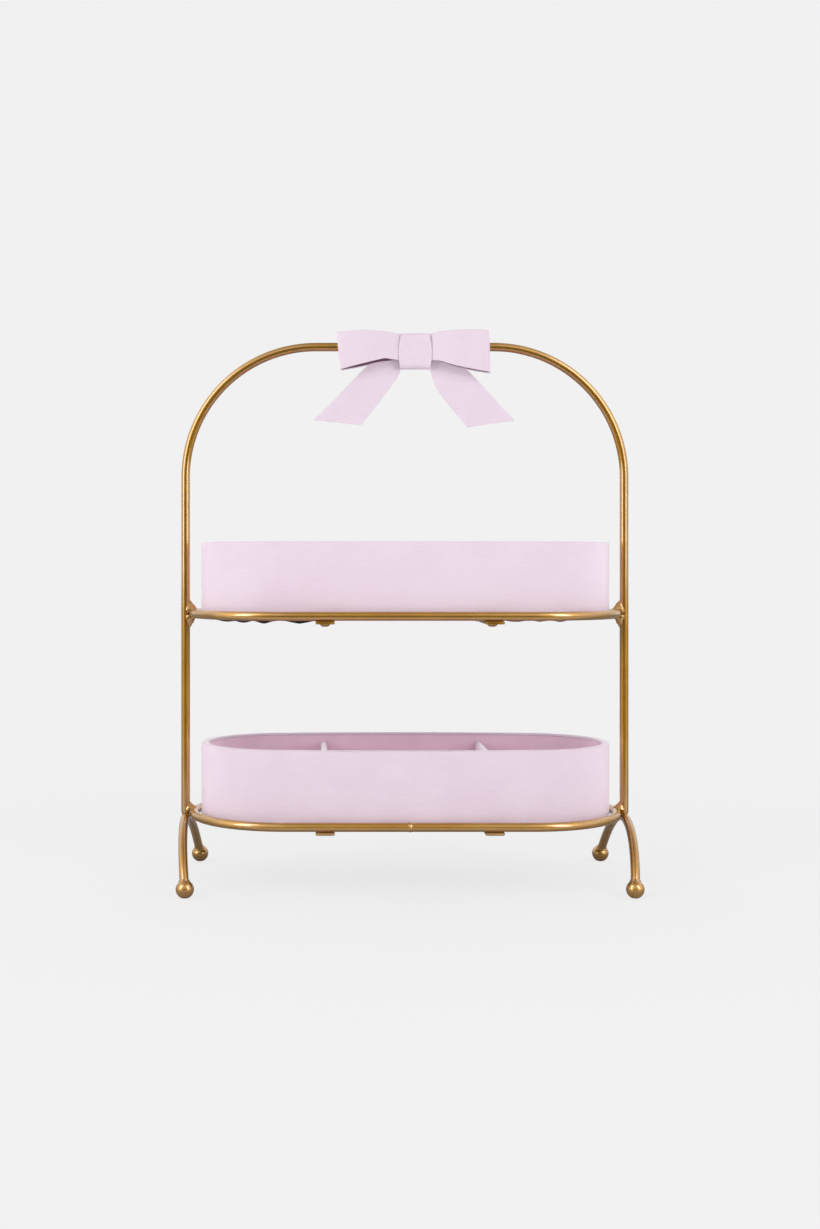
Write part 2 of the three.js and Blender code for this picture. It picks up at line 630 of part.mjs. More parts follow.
// Slanting tail, clamped in the knot and cut at an angle at its free end.
function bowTail(side) {
  const clampTop = KNOT_TOP - BOW_THICKNESS - TAIL_CLAMP_MARGIN;
  const clampBottom = KNOT_BOTTOM + BOW_THICKNESS + TAIL_CLAMP_MARGIN;
  const middle = (KNOT_TOP + KNOT_BOTTOM) / 2;
  const clampX = KNOT_WIDTH / 2;
  const edges = [[[BOW_GAP, clampBottom], [BOW_GAP, clampTop]]];
  for (let i = 0; i <= TAIL_STEPS; i++) {
    const share = i / TAIL_STEPS;
    edges.push([
      [THREE.MathUtils.lerp(clampX, TAIL_INNER_REACH, share),
        THREE.MathUtils.lerp(clampBottom, middle - TAIL_INNER_DROP, share)],
      [THREE.MathUtils.lerp(clampX, TAIL_OUTER_REACH, share),
        THREE.MathUtils.lerp(clampTop, middle - TAIL_OUTER_DROP, share)],
    ]);
  }
  const normal = new THREE.Vector3(0, 1, 0);
  const lowest = middle - TAIL_INNER_DROP;
  const rings = edges.map((ends) => {
    const [lowEdge, highEdge] = ends.map(([x, z]) => {
      const clear = Math.max(0, (LOOP_BOTTOM - z) / (LOOP_BOTTOM - lowest));
      return new THREE.Vector3(side * x, TAIL_Y - TAIL_SWING * clear ** 2, z);
    });
    return strapSection(lowEdge, highEdge, normal);
  });
  return loft(rings);
}

// Band round the loops, the tails and the handle: tall in front, drawn in behind the rod.
function bowKnot() {
  const half = BOW_THICKNESS / 2;
  const shoulderY = TAIL_Y + BOW_THICKNESS / 2 + BOW_GAP;
  const backRise = ROD_RADIUS + BOW_GAP + half;
  const corners = [
    [KNOT_FRONT_Y, KNOT_BOTTOM + half],
    [KNOT_FRONT_Y, KNOT_TOP - half],
    [shoulderY, KNOT_TOP - half],
    [KNOT_BACK_Y, backRise],
    [KNOT_BACK_Y, -backRise],
    [shoulderY, KNOT_BOTTOM + half],
  ].map(([y, z]) => new THREE.Vector2(y, z));
  const path = new THREE.Path();
  corners.forEach((corner, i) => {
    const before = corners[(i + corners.length - 1) % corners.length];
    const after = corners[(i + 1) % corners.length];
    const arrive = corner.clone().add(before.clone().sub(corner).setLength(KNOT_CORNER));
    const leave = corner.clone().add(after.clone().sub(corner).setLength(KNOT_CORNER));
    if (i === 0) {
      path.moveTo(arrive.x, arrive.y);
    } else {
      path.lineTo(arrive.x, arrive.y);
    }
    path.quadraticCurveTo(corner.x, corner.y, leave.x, leave.y);
  });
  const points = path.getPoints(KNOT_CORNER_STEPS);
  const rings = points.map((point, i) => {
    const before = points[(i + points.length - 1) % points.length];
    const after = points[(i + 1) % points.length];
    const normal = new THREE.Vector3(0, after.y - before.y, before.x - after.x).normalize();
    const edges = [-1, 1].map((side) => new THREE.Vector3((side * KNOT_WIDTH) / 2, point.x, point.y));
    return strapSection(edges[0], edges[1], normal);
  });
  return loft(rings, true);
}

// Bow on the handle, about the handle's centre line.
function bow() {
  const group = new THREE.Group();
  group.position.set(BOW_OFFSET, 0, HANDLE_HEIGHT);
  group.add(
    part('bow_loops', bowLoops(), 'leatherette'),
    part('bow_left_tail', bowTail(-1), 'leatherette'),
    part('bow_right_tail', bowTail(1), 'leatherette'),
    part('bow_knot', bowKnot(), 'leatherette'),
  );
  return group;
}

const organizer = new THREE.Group();
organizer.add(part('arch_rod', archRod(), 'gold'));
for (const [name, side] of [['left', -1], ['right', 1]]) {
  organizer.add(part(`${name}_leg_arch`, legRod(side, ROD_RADIUS, BALL_RADIUS - BALL_SOCKET), 'gold'));
  organizer.add(part(`front_${name}_foot`, ballFoot(side, -1), 'gold'));
  organizer.add(part(`rear_${name}_foot`, ballFoot(side, 1), 'gold'));
}
organizer.add(tier('lower', LOWER_RING_HEIGHT, LOWER_FILLET_FALL, true));
organizer.add(tier('upper', UPPER_RING_HEIGHT, UPPER_FILLET_FALL, false));
organizer.add(bow());

export default organizer;
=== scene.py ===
"""Two-tier jewellery organizer: a welded gold rod stand, two lined trays and a bow on the handle."""

import math

import bmesh
import bpy
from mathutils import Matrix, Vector, noise

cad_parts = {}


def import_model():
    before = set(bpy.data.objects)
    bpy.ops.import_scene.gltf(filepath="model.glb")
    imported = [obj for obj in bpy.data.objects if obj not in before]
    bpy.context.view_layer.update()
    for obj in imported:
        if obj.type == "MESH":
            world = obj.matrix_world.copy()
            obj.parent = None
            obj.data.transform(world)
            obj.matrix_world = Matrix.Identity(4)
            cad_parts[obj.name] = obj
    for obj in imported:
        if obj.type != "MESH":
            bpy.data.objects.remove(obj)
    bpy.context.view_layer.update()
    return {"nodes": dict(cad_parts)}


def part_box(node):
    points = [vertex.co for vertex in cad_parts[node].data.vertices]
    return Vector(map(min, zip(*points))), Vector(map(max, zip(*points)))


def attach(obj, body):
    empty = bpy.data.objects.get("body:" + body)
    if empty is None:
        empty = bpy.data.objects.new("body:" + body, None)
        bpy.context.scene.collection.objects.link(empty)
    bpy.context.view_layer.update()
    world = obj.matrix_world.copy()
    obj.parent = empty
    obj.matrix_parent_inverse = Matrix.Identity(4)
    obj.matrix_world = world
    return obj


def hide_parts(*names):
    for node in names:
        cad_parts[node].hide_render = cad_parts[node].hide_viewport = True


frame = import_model()

MM = 0.001
SHARP_ANGLE = math.radians(38)
NOISE_SEED = 1  # fixed, so that the welds have the same lumps in each run
X, Y, Z = Vector((1, 0, 0)), Vector((0, 1, 0)), Vector((0, 0, 1))

# Rods of the frame
ROD_RADIUS = 2.5 * MM
ROD_SIDES = 28
CUT_BEVEL = 0.35 * MM
HANDLE_CORNER_RADIUS = 75 * MM
BEND_STEPS = 48
UPRIGHT_STEPS = 12
ARCH_LOW, ARCH_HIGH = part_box("arch_rod")
UPRIGHT_X = ARCH_HIGH.x - ROD_RADIUS
UPRIGHT_FOOT_Z = ARCH_LOW.z
HANDLE_Z = ARCH_HIGH.z - ROD_RADIUS

# Rings and their welds
WELD_GAP = 0.3 * MM
RING_HALF_LENGTH = UPRIGHT_X - 2 * ROD_RADIUS - WELD_GAP
RING_HALF_DEPTH = -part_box("upper_ring")[0].y - ROD_RADIUS
RING_END_STEPS = 72
RING_SIDE_STEPS = 12
RING_ABOVE_STRAP = ROD_RADIUS + WELD_GAP
SEAM_HALF_LENGTH = 2.4 * MM  # stretch of the bar that is modelled finely round its butt weld
SEAM_STEPS = 16
SEAM_RISE = 0.3 * MM
SEAM_WIDTH = 0.55 * MM
BEAD_STEPS = 18
BEAD_SIDES = 32
BEAD_REACHES = {1: 6.2 * MM, -1: 4.7 * MM}  # towards the tray, of a bead above and below the ring
BEAD_BACK = 3.2 * MM  # away from the tray, over the upright
BEAD_DEPTH = 3.1 * MM  # towards the front and the rear
BEAD_TIP = 0.5 * MM
BEAD_START = 0.9 * MM  # above or below the ring's centre line
BEAD_DOME = 1 / 6  # share of its length over which a bead's blunt end is rounded
BEAD_END_WIDTH, BEAD_END_DEPTH = 0.75, 0.8  # what is left of its width and depth there
BEAD_BACK_TAPER, BEAD_DEPTH_TAPER = 1.3, 1.6
BEAD_LUMPS = ((1.9 * MM, 0.3 * MM), (0.8 * MM, 0.12 * MM))  # size and height
UPPER_BEADS = (7.8 * MM, -8.7 * MM)  # tips above and below the ring's centre line
LOWER_BEADS = (6.0 * MM, -3.0 * MM)
NOTCH_WELD = ((2.4, 0.3), (2.3, -0.3), (2.15, -1.0), (2.2, -2.0), (2.3, -2.8))  # radius and height, in mm
NOTCH_LUMPS = (1.2 * MM, 0.15 * MM)

# Legs and feet
LEG_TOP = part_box("left_leg_arch")[1].z - ROD_RADIUS
LEG_LEAN = 4.2 * MM  # how far the feet stand inside the uprights
LEG_STEPS = 64
FOOT_Y = 53 * MM
BALL_RADIUS = 5 * MM
BALL_FLAT_RADIUS = 2 * MM
BALL_STEPS = 26
BALL_SIDES = 48
FOOT_Z = math.sqrt(BALL_RADIUS ** 2 - BALL_FLAT_RADIUS ** 2)
BALL_SOCKET = 3 * MM  # how deep a leg enters its ball
LEG_FALL = LEG_TOP - FOOT_Z
LEG_BEND = (FOOT_Y ** 2 + LEG_FALL ** 2) / (2 * LEG_FALL)  # radius of its arc
LEG_SWEEP = math.atan2(FOOT_Y, LEG_BEND - LEG_FALL)  # angle from its top to a ball
FOOT_BEAD_RADIUS = 0.62 * MM
FOOT_BEAD_SIDES = 12
FOOT_BEAD_LUMPS = (1.5 * MM, 0.16 * MM)

# Straps and screws
STRAP_BEVEL = 0.3 * MM
STRAP_CORNER = ((3, 0), (1, 1), (0, 3))  # points of a rounded corner in plan, in bevels from its tip
SCREW_SIDES = 36
SCREW_HEAD_EDGE = 0.4 * MM
SCREW_HEAD_STEPS = 8
SCREW_RECESS_SPAN = 3.0 * MM
SCREW_RECESS_WIDTH = 0.75 * MM
SCREW_RECESS_DEPTH = 1.0 * MM
SCREW_HEAD_RADIUS = 2.8 * MM
SCREW_HEAD_HEIGHT = 1.9 * MM
SCREW_SHANK_RADIUS = 1.45 * MM

# Trays
SIDE_BOW = 3.5 * MM  # how far the long sides bulge beyond the round ends
TRAY_END_STEPS = 72
TRAY_SIDE_STEPS = 40
WALL_STEPS = 14
SKIN = 0.8 * MM
RIM_ROUND = 1.0 * MM
RIM_STEPS = 6
FOOT_ROUND = 0.8 * MM
FOOT_ROUND_STEPS = 4
RIM_HEM = 1.2 * MM
BASE_HEM = 5 * MM
WALL_RIPPLE = 0.16 * MM
WALL_RIPPLE_SIZE = 38 * MM
SEAM_OVERLAP = 0.35 * MM  # step where the ends of a wrap overlap at the rear
SEAM_OVERLAP_LENGTH = 14 * MM
SLAB_MIDDLE = 38 * MM  # depth inside the outline where a plate's flat middle starts
SLAB_EDGE = 0.6  # share of a plate's thickness that its edge stands upright
SLAB_ROUND = ((0.5 * MM, 0.4), (2 * MM, 1 / 6))  # depth inside the edge and share of the drop there
PAD_EDGE_DROP = 0.35 * MM
FELT_EDGE_DROP = 0.2 * MM
EDGE_SAG_DEPTH = 9 * MM  # how far inside its edge a plate may sag
EDGE_SAG_STEPS = 6
FELT_DIPS = (  # place along the tray, half width and fall of each loose wave of the felt, in mm
    (-100.5, 5.0, 1.0), (-91.0, 4.2, 1.35), (-79.5, 4.0, 1.7), (-60.0, 5.5, 1.7),
    (58.3, 3.2, 0.8), (72.0, 2.6, 0.7), (83.0, 3.0, 0.8),
)
FELT_DRIFT = 6 * MM  # how far the rear waves sit from the front ones
FELT_LOOSE = {"upper": 1.0, "lower": 0.3}  # share of those falls
DIVIDER_STEPS = 24
DIVIDER_SIDE_STEPS = 8
DIVIDER_TOP_STEPS = 12
DIVIDER_ROUND = 0.5 * MM
DIVIDER_END_SQUEEZE = 0.14  # share of its thickness lost at the covered ends

# Bow; its outlines are in mm from the middle and top of the knot, for the left (-1) and right (1)
BOW_LOW, BOW_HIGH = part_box("bow_knot")
BOW_X = (BOW_LOW.x + BOW_HIGH.x) / 2
KNOT_TOP = BOW_HIGH.z
STRAP = 1.2 * MM
LAYER_GAP = 0.3 * MM
TAIL_Y = -ROD_RADIUS - LAYER_GAP - STRAP / 2
LOOP_BACK_Y = TAIL_Y - STRAP - LAYER_GAP
LOOP_FRONT_Y = LOOP_BACK_Y - STRAP - LAYER_GAP
KNOT_FRONT_Y = LOOP_FRONT_Y - STRAP - LAYER_GAP
KNOT_HALF_WIDTH = 9.5 * MM
LOOP_FOLD = 2.2 * MM
LOOP_PUFF = 2.2 * MM
LOOP_PUFF_POWER = 0.45  # below 1 the puff starts close to the knot
LOOP_OPENING = 1.4  # above 1 a loop is open before it reaches its fold
LOOP_STEPS = 30
FOLD_STEPS = 12
STRAP_COLUMNS = 8
STRAP_CHAMFER = 0.22 * MM
STRAP_TURN = 0.5 * MM  # width of the leatherette turned round the lower edge to the inner side
INNER_START = STRAP_COLUMNS + 4  # faces of a strap's section before those of its inner side
# Faces of the inner side, which take the dark backing that paints the shade in the loops' slit
INNER_SHADE_COLUMNS = range(INNER_START, INNER_START + STRAP_COLUMNS)
LOOP_REACH = {-1: 45.0, 1: 43.6}
LOOP_TOP_SLANT = {-1: 0.0, 1: 0.03}
LOOP_LOW_SLANT = {-1: 0.055, 1: 0.01}
LOOP_SLANT_POWER = 4
LOOP_TOPS = {
    -1: [(0, -1.6), (8, -0.4), (18, 0.7), (30, 1.4), (LOOP_REACH[-1], 0.5)],
    1: [(0, -1.6), (8, -0.4), (15, 0.8), (27, 1.7), (LOOP_REACH[1], 1.6)],
}
LOOP_FRONT_LOWS = {
    -1: [(0, -15.4), (9.5, -15.3), (13.4, -15.1), (16.9, -14.5), (20.5, -15.2), (31, -17.7),
         (LOOP_REACH[-1], -20.8)],
    1: [(0, -15.4), (9.6, -15.5), (14, -15.9), (22, -18.5), (30.4, -20.3), (LOOP_REACH[1], -22.5)],
}
LOOP_BACK_LOWS = {
    -1: [(0, -15.4), (9.5, -15.5), (15, -16.0), (20.5, -16.6), (31, -19.0), (LOOP_REACH[-1], -21.2)],
    1: [(0, -15.4), (9.6, -15.6), (14, -16.1), (22, -18.7), (30.4, -20.6), (LOOP_REACH[1], -22.9)],
}
TAIL_INNER = {
    -1: [(-8.6, -11), (-8.3, -19), (-9.4, -24), (-18, -36), (-30.9, -52.3)],
    1: [(8.6, -11), (8.8, -19), (10.2, -25.5), (14.4, -34.1), (30.0, -53.7)],
}
TAIL_OUTER = {
    -1: [(-8.6, -3.5), (-16, -8.5), (-29.7, -20.5), (-43, -34.5), (-58.0, -49.5)],
    1: [(8.6, -3.5), (16, -8.5), (31.6, -22.1), (44, -35.5), (56.9, -49.7)],
}
TAIL_STEPS = 36
TAIL_SWING = 3 * MM  # how far a tail hangs forward at its end
TAIL_SWING_START, TAIL_SWING_LENGTH = 20, 33  # below the top of the knot, in mm
TAIL_SWING_POWER = 1.6
TAIL_CUP = 0.7 * MM
TAIL_CUP_START, TAIL_CUP_LENGTH = 0.3, 0.5  # shares of the tail
KNOT_STEPS = 10
KNOT_CORNER = 1.9 * MM
KNOT_FRONT_CORNERS = {0: 3.4 * MM, 1: 1.6 * MM}  # at the bottom and the top of its front
KNOT_CORNER_SHARE = 0.45  # most of a side that a round corner takes
KNOT_WAIST = [(0.0, 8.7), (0.5, 9.6), (1.0, 8.1)]  # share of its height and half width in mm

# Camera that took the photograph, which was square to the front and off the middle of the frame
IMAGE_WIDTH, IMAGE_HEIGHT = 820, 1229
EYE = Vector((-47.6, -896.1, 180.4)) * MM
FOCAL_PIXELS = 1556.5
CENTRE_PIXELS = (322.17, 564.69)
SENSOR = 36.0  # mm, along the taller side of the picture
CLIP_START, CLIP_END = 0.01, 30

# Light tent round the object; its pairs are parts of a direction, Y to the rear and Z up
BACKDROP = (0.8796, 0.8796, 0.8796, 1)
TENT_FRONT = 0.41
TENT_REAR = 2.0
TENT_CEILING = 0.27
TENT_TURN = (-0.7, 0.5)  # along Y, from the front wall to the rear one
TENT_RISE = (0.3, 0.85)  # along Z, from the walls to the ceiling
TENT_SIDE_GAIN = 1.2  # of the walls at the left and right

# Room that the metal mirrors, in shares of the backdrop, with pairs like those of the tent
ROOM_FRONT = 0.06  # the dim end behind the camera
ROOM_REAR = 1.0
ROOM_DEPTH = (-0.95, 0.9)  # along Y, from the front to the rear
ROOM_UPPER = (0.36, 1.34)  # high on the walls, in the middle and towards the sides
ROOM_UPPER_MIDDLE = 0.035  # along X
ROOM_UPPER_SIDE = (0.0, 0.15)  # away from that middle
ROOM_UPPER_RISE = (0.1, 0.55)
ROOM_SIDE = 1.3  # walls at the left and right
ROOM_SIDE_TURN = (0.45, 0.8)
ROOM_SIDE_FADE = (0.0, 0.4)  # along Y, where they fade towards the rear
ROOM_SIDE_REST = 0.3  # what is left of them there
ROOM_CEILING = 0.4
ROOM_CEILING_RISE = (0.6, 1.0)
ROOM_FLOOR_END = (-0.5, -0.2)  # along Y in metres, from the dim end to the pale floor
ROOM_FLOOR_SHADOW_SPAN = (-0.13, -0.02)  # along Y in metres, where the floor that metal mirrors darkens under and behind the stand: a painted shadow
ROOM_FLOOR_SHADOW_REST = 0.35  # what is left of the floor's light in that painted shadow

# Floor and lamps, in metres
FLOOR_HALF = 8.0
FLOOR_COLOUR = (0.92, 0.92, 0.92, 1)
FLOOR_GLOW_NEAR = 0.85  # share of the backdrop's light near the object, which leaves a faint shadow
FLOOR_NEAR, FLOOR_FAR = 0.12, 0.7  # from the middle, between which the floor runs into the backdrop
SOFTBOX_WIDTH, SOFTBOX_HEIGHT = 0.45, 1.2
SOFTBOX_POWER = 6.9
SOFTBOX_LEFT = (-1.0, -0.7, 0.7)
SOFTBOX_RIGHT = (0.85, -0.9, 0.7)
STAND_MIDDLE = Vector((0, 0, 0.16))

# Usual reach of one noise, and of two noises added up
NOISE_RANGE = (0.3, 0.7)
NOISE_SUM_RANGE = (0.75, 1.25)


def turns(count):
    return [2 * math.pi * i / count for i in range(count)]


def mix(low, high, share):
    return low + (high - low) * share


def smooth(share):
    share = min(1.0, max(0.0, share))
    return share * share * (3 - 2 * share)


def along(points, place):
    """Height at a place on a smooth curve through (place, height) points."""
    last = len(points) - 1
    slopes = []
    for i in range(last + 1):
        (x1, y1), (x2, y2) = points[max(0, i - 1)], points[min(last, i + 1)]
        slopes.append((y2 - y1) / (x2 - x1))
    for i in range(last):
        (x1, y1), (x2, y2) = points[i], points[i + 1]
        if place <= x2 or i == last - 1:
            t, span = (place - x1) / (x2 - x1), x2 - x1
            rise = y1 * (1 + 2 * t) * (1 - t) ** 2 + y2 * t * t * (3 - 2 * t)
            return rise + span * (slopes[i] * t * (1 - t) ** 2 - slopes[i + 1] * t * t * (1 - t))


def path_point(points, share):
    """Point at a share of the way along a smooth curve through plane points."""
    places = [i / (len(points) - 1) for i in range(len(points))]
    return tuple(along(list(zip(places, [p[axis] for p in points])), share) for axis in (0, 1))


def loft(rings, is_loop=False):
    """Closed shell through rings of equally many points."""
    count = len(rings[0])
    points = [p for ring in rings for p in ring]
    faces = []
    for i in range(len(rings) if is_loop else len(rings) - 1):
        near, far = i * count, (i + 1) % len(rings) * count
        for j in range(count):
            k = (j + 1) % count
            faces.append((near + j, near + k, far + k, far + j))
    if not is_loop:
        faces.append(tuple(range(count)))
        faces.append(tuple(range(len(points) - count, len(points))))
    return points, faces


def joined(*shells):
    points, faces = [], []
    for shell_points, shell_faces in shells:
        start = len(points)
        points += shell_points
        faces += [tuple(start + i for i in face) for face in shell_faces]
    return points, faces


def lathe(profile, sides, origin=Vector(), axis=Z):
    """Shell of revolution through (radius, height) points along an axis; both ends lie on the axis."""
    turn = Z.rotation_difference(axis)
    tips = [origin + turn @ Vector((0, 0, profile[i][1])) for i in (0, -1)]
    rings = [
        [origin + turn @ Vector((r * math.cos(a), r * math.sin(a), z)) for a in turns(sides)]
        for r, z in profile[1:-1]
    ]
    points, faces = loft(rings)
    faces = faces[:-2]
    for tip, first in ((tips[0], 0), (tips[1], len(points) - sides)):
        faces += [(len(points), first + j, first + (j + 1) % sides) for j in range(sides)]
        points.append(tip)
    return points, faces


def piece(name, shell):
    points, faces = shell
    mesh = bpy.data.meshes.new(name)
    mesh.from_pydata([tuple(p) for p in points], [], faces)
    shape = bmesh.new()
    shape.from_mesh(mesh)
    bmesh.ops.recalc_face_normals(shape, faces=shape.faces)
    shape.to_mesh(mesh)
    shape.free()
    mesh.shade_smooth()
    mesh.set_sharp_from_angle(angle=SHARP_ANGLE)
    made = bpy.data.objects.new(name, mesh)
    bpy.context.scene.collection.objects.link(made)
    return made


def dress(node, shell, material):
    """New piece that stands for a CAD node."""
    made = piece(f"{node}_dressed", shell)
    made.data.materials.append(material)
    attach(made, "root")
    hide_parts(node)
    return made


def tube(stations, normal, sides=ROD_SIDES, is_loop=False):
    """Round bar through (point, direction, radius) stations of a flat path with that normal."""
    rings = []
    for point, direction, radius in stations:
        across = normal.cross(direction).normalized()
        rings.append([point + radius * (math.cos(a) * across + math.sin(a) * normal)
                      for a in turns(sides)])
    return loft(rings, is_loop)


def arc(centre, radius, start, end, steps):
    """(point, direction) pairs along an arc in a plane."""
    sense = 1 if end > start else -1
    made = []
    for i in range(steps + 1):
        a = mix(start, end, i / steps)
        made.append(((centre[0] + radius * math.cos(a), centre[1] + radius * math.sin(a)),
                     (-sense * math.sin(a), sense * math.cos(a))))
    return made


def arc_points(centre, radius, start, end, steps):
    return [point for point, _ in arc(centre, radius, start, end, steps)]


def lumpy(points, size, height):
    """Points pushed about by smooth noise."""
    return [p + height * noise.noise_vector(p / size) for p in points]


# Materials


def srgb(red, green, blue):
    """Linear colour of an 8-bit screen colour."""
    return tuple(((c / 255 + 0.055) / 1.055) ** 2.4 for c in (red, green, blue)) + (1.0,)


class Tree:
    """Node tree of a material or of the world."""

    def __init__(self, owner):
        owner.use_nodes = True
        self.nodes, self.links = owner.node_tree.nodes, owner.node_tree.links
        self.nodes.clear()

    def add(self, kind, inputs=(), output=0, **properties):
        """Output of a new node, whose inputs are values or outputs of other nodes."""
        made = self.nodes.new(f"ShaderNode{kind}")
        for name, value in properties.items():
            setattr(made, name, value)
        for socket, value in dict(inputs).items():
            if isinstance(value, bpy.types.NodeSocket):
                self.links.new(value, made.inputs[socket])
            else:
                made.inputs[socket].default_value = value
        return made.outputs[output] if made.outputs else None

    def math(self, operation, first, second):
        return self.add("Math", {0: first, 1: second}, operation=operation)

    def absolute(self, value):
        return self.add("Math", {0: value}, operation="ABSOLUTE")

    def clear_ray(self):
        """1 for what the camera sees, also through something clear, and otherwise 0."""
        return self.math("MAXIMUM", self.add("LightPath", output="Is Camera Ray"),
                         self.add("LightPath", output="Is Transmission Ray"))

    def span(self, value, start, end, low, high, kind="LINEAR"):
        """Value between a start and an end, spread between a low and a high."""
        inputs = {"Value": value, "From Min": start, "From Max": end, "To Min": low, "To Max": high}
        return self.add("MapRange", inputs, interpolation_type=kind)


class Look(Tree):
    """Principled material in the making, patterned by places on the object in metres."""

    def __init__(self, name, **sockets):
        self.material = bpy.data.materials.new(name)
        super().__init__(self.material)
        self.place = self.add("TexCoord", output="Object")
        values = {socket.replace("_", " "): value for socket, value in sockets.items()}
        surface = self.add("BsdfPrincipled", values)
        self.shader = surface.node
        self.add("OutputMaterial", {"Surface": surface})

    def noise(self, scale, detail=3.0, roughness=0.55, stretch=(1, 1, 1)):
        place = self.add("Mapping", {"Vector": self.place, "Scale": stretch})
        inputs = {"Vector": place, "Scale": scale, "Detail": detail, "Roughness": roughness}
        return self.add("TexNoise", inputs)

    def cells(self, scale):
        return self.add("TexVoronoi", {"Vector": self.place, "Scale": scale}, "Distance")

    def colour(self, factor, first, second):
        return self.add("Mix", {"Factor": factor, "A": first, "B": second}, "Result", data_type="RGBA")

    def paint(self, socket, value):
        self.links.new(value, self.shader.inputs[socket])

    def bump(self, height, distance):
        self.paint("Normal", self.add("Bump", {"Height": height, "Distance": distance}))


def gold_paint():
    look = Look("satin_gold_paint", Metallic=1.0, Coat_Weight=1.0, Coat_Roughness=0.12, Coat_IOR=2.08)
    cloud = look.span(look.noise(70, detail=4), *NOISE_RANGE, 0, 1)
    look.paint("Base Color", look.colour(cloud, srgb(179, 125, 20), srgb(191, 140, 32)))
    look.paint("Roughness", look.span(look.noise(900, detail=2), *NOISE_RANGE, 0.43, 0.48))
    look.bump(look.noise(300), 0.004 * MM)
    return look.material


def screw_brass():
    look = Look("brass_screw", Metallic=1.0)
    look.paint("Base Color", look.colour(look.noise(300), srgb(160, 120, 56), srgb(198, 160, 96)))
    look.paint("Roughness", look.span(look.noise(900), *NOISE_RANGE, 0.22, 0.38))
    look.bump(look.noise(1800), 0.01 * MM)
    return look.material


def leatherette(name, deep, pale):
    """Pale coated cloth with short fine creases across it and a pebbled grain."""
    look = Look(name, Specular_IOR_Level=0.4, Sheen_Weight=0.4, Sheen_Roughness=0.3)
    creases = look.noise(150, detail=5, roughness=0.6, stretch=(1, 1, 7))
    mottle = look.noise(30, detail=2)
    tone = look.span(look.math("ADD", creases, mottle), *NOISE_SUM_RANGE, 0, 1)
    look.paint("Base Color", look.colour(tone, deep, pale))
    look.paint("Roughness", look.span(creases, *NOISE_RANGE, 0.54, 0.66))
    pebble = look.span(look.cells(1300), 0, 1, 0, 0.3)
    look.bump(look.math("ADD", creases, pebble), 0.065 * MM)
    return look.material


# Dark mauve cloth for the inner side of the bow's loops: partly the leatherette's real backing, and its
# darkness is painted shade for the slit under the loops
def slit_shade_backing():
    look = Look("mauve_backing_painted_slit_shade", Roughness=0.95, Specular_IOR_Level=0.1)
    thread = look.noise(1400, detail=2)
    look.paint("Base Color", look.colour(thread, srgb(112, 80, 98), srgb(144, 110, 128)))
    look.bump(thread, 0.1 * MM)
    return look.material


def suede():
    look = Look("mauve_suede_lining", Roughness=0.95, Specular_IOR_Level=0.15,
                Sheen_Weight=0.25, Sheen_Roughness=0.4)
    nap = look.noise(60, detail=4, roughness=0.6, stretch=(1, 1, 0.5))
    fibre = look.noise(2600, detail=2)
    tone = look.span(look.math("ADD", nap, fibre), *NOISE_SUM_RANGE, 0, 1)
    look.paint("Base Color", look.colour(tone, srgb(233, 201, 218), srgb(241, 212, 227)))
    look.bump(fibre, 0.12 * MM)
    return look.material


def felt_fabric():
    look = Look("dark_felt", Roughness=1.0, Specular_IOR_Level=0.1, Sheen_Weight=0.2)
    fibre = look.noise(1900, detail=4, stretch=(1, 1, 0.4))
    look.paint("Base Color", look.colour(fibre, srgb(22, 19, 22), srgb(58, 52, 56)))
    look.bump(fibre, 0.25 * MM)
    return look.material


def board(name, dark, light, stretch):
    look = Look(name, Roughness=0.85)
    fibre = look.noise(420, detail=5, stretch=stretch)
    look.paint("Base Color", look.colour(look.span(fibre, *NOISE_RANGE, 0, 1), dark, light))
    look.bump(fibre, 0.08 * MM)
    return look.material


GOLD = gold_paint()
BRASS = screw_brass()
LEATHER = leatherette("lilac_leatherette", srgb(226, 206, 221), srgb(231, 213, 227))
# Slightly darker copy of the trays' leatherette for the bow: painted shade
BOW_LEATHER_PAINTED_DARKER = leatherette("lilac_bow_leatherette_painted_darker", srgb(224, 206, 220), srgb(228, 211, 224))
# Paler copy of the wraps' leatherette for the dividers: painted light for the dim inside of the lower
# tray
DIVIDER_LEATHER_PAINTED_LIGHT = leatherette("lilac_leatherette_painted_light", srgb(240, 221, 233), srgb(245, 228, 239))
SLIT_SHADE_BACKING = slit_shade_backing()
SUEDE = suede()
FELT = felt_fabric()
CARDBOARD = board("grey_cardboard", srgb(158, 144, 126), srgb(178, 164, 146), (1, 1, 3))
FIBREBOARD = board("brown_fibreboard", srgb(150, 118, 84), srgb(182, 150, 112), (1, 1, 1))


# Gold frame


def arch():
    bend_x, bend_z = UPRIGHT_X - HANDLE_CORNER_RADIUS, HANDLE_Z - HANDLE_CORNER_RADIUS
    half = [((UPRIGHT_X, UPRIGHT_FOOT_Z + i * CUT_BEVEL), (0, 1), ROD_RADIUS - (1 - i) * CUT_BEVEL)
            for i in (0, 1)]
    half += [((UPRIGHT_X, mix(UPRIGHT_FOOT_Z, bend_z, i / UPRIGHT_STEPS)), (0, 1), ROD_RADIUS)
             for i in range(1, UPRIGHT_STEPS)]
    half += [(point, direction, ROD_RADIUS) for point, direction in
             arc((bend_x, bend_z), HANDLE_CORNER_RADIUS, 0, math.pi / 2, BEND_STEPS)]
    left = [((-u, v), (du, -dv), r) for (u, v), (du, dv), r in reversed(half)]
    stations = [(Vector((u, 0, v)), Vector((du, 0, dv)), r) for (u, v), (du, dv), r in half + left]
    return tube(stations, Y)


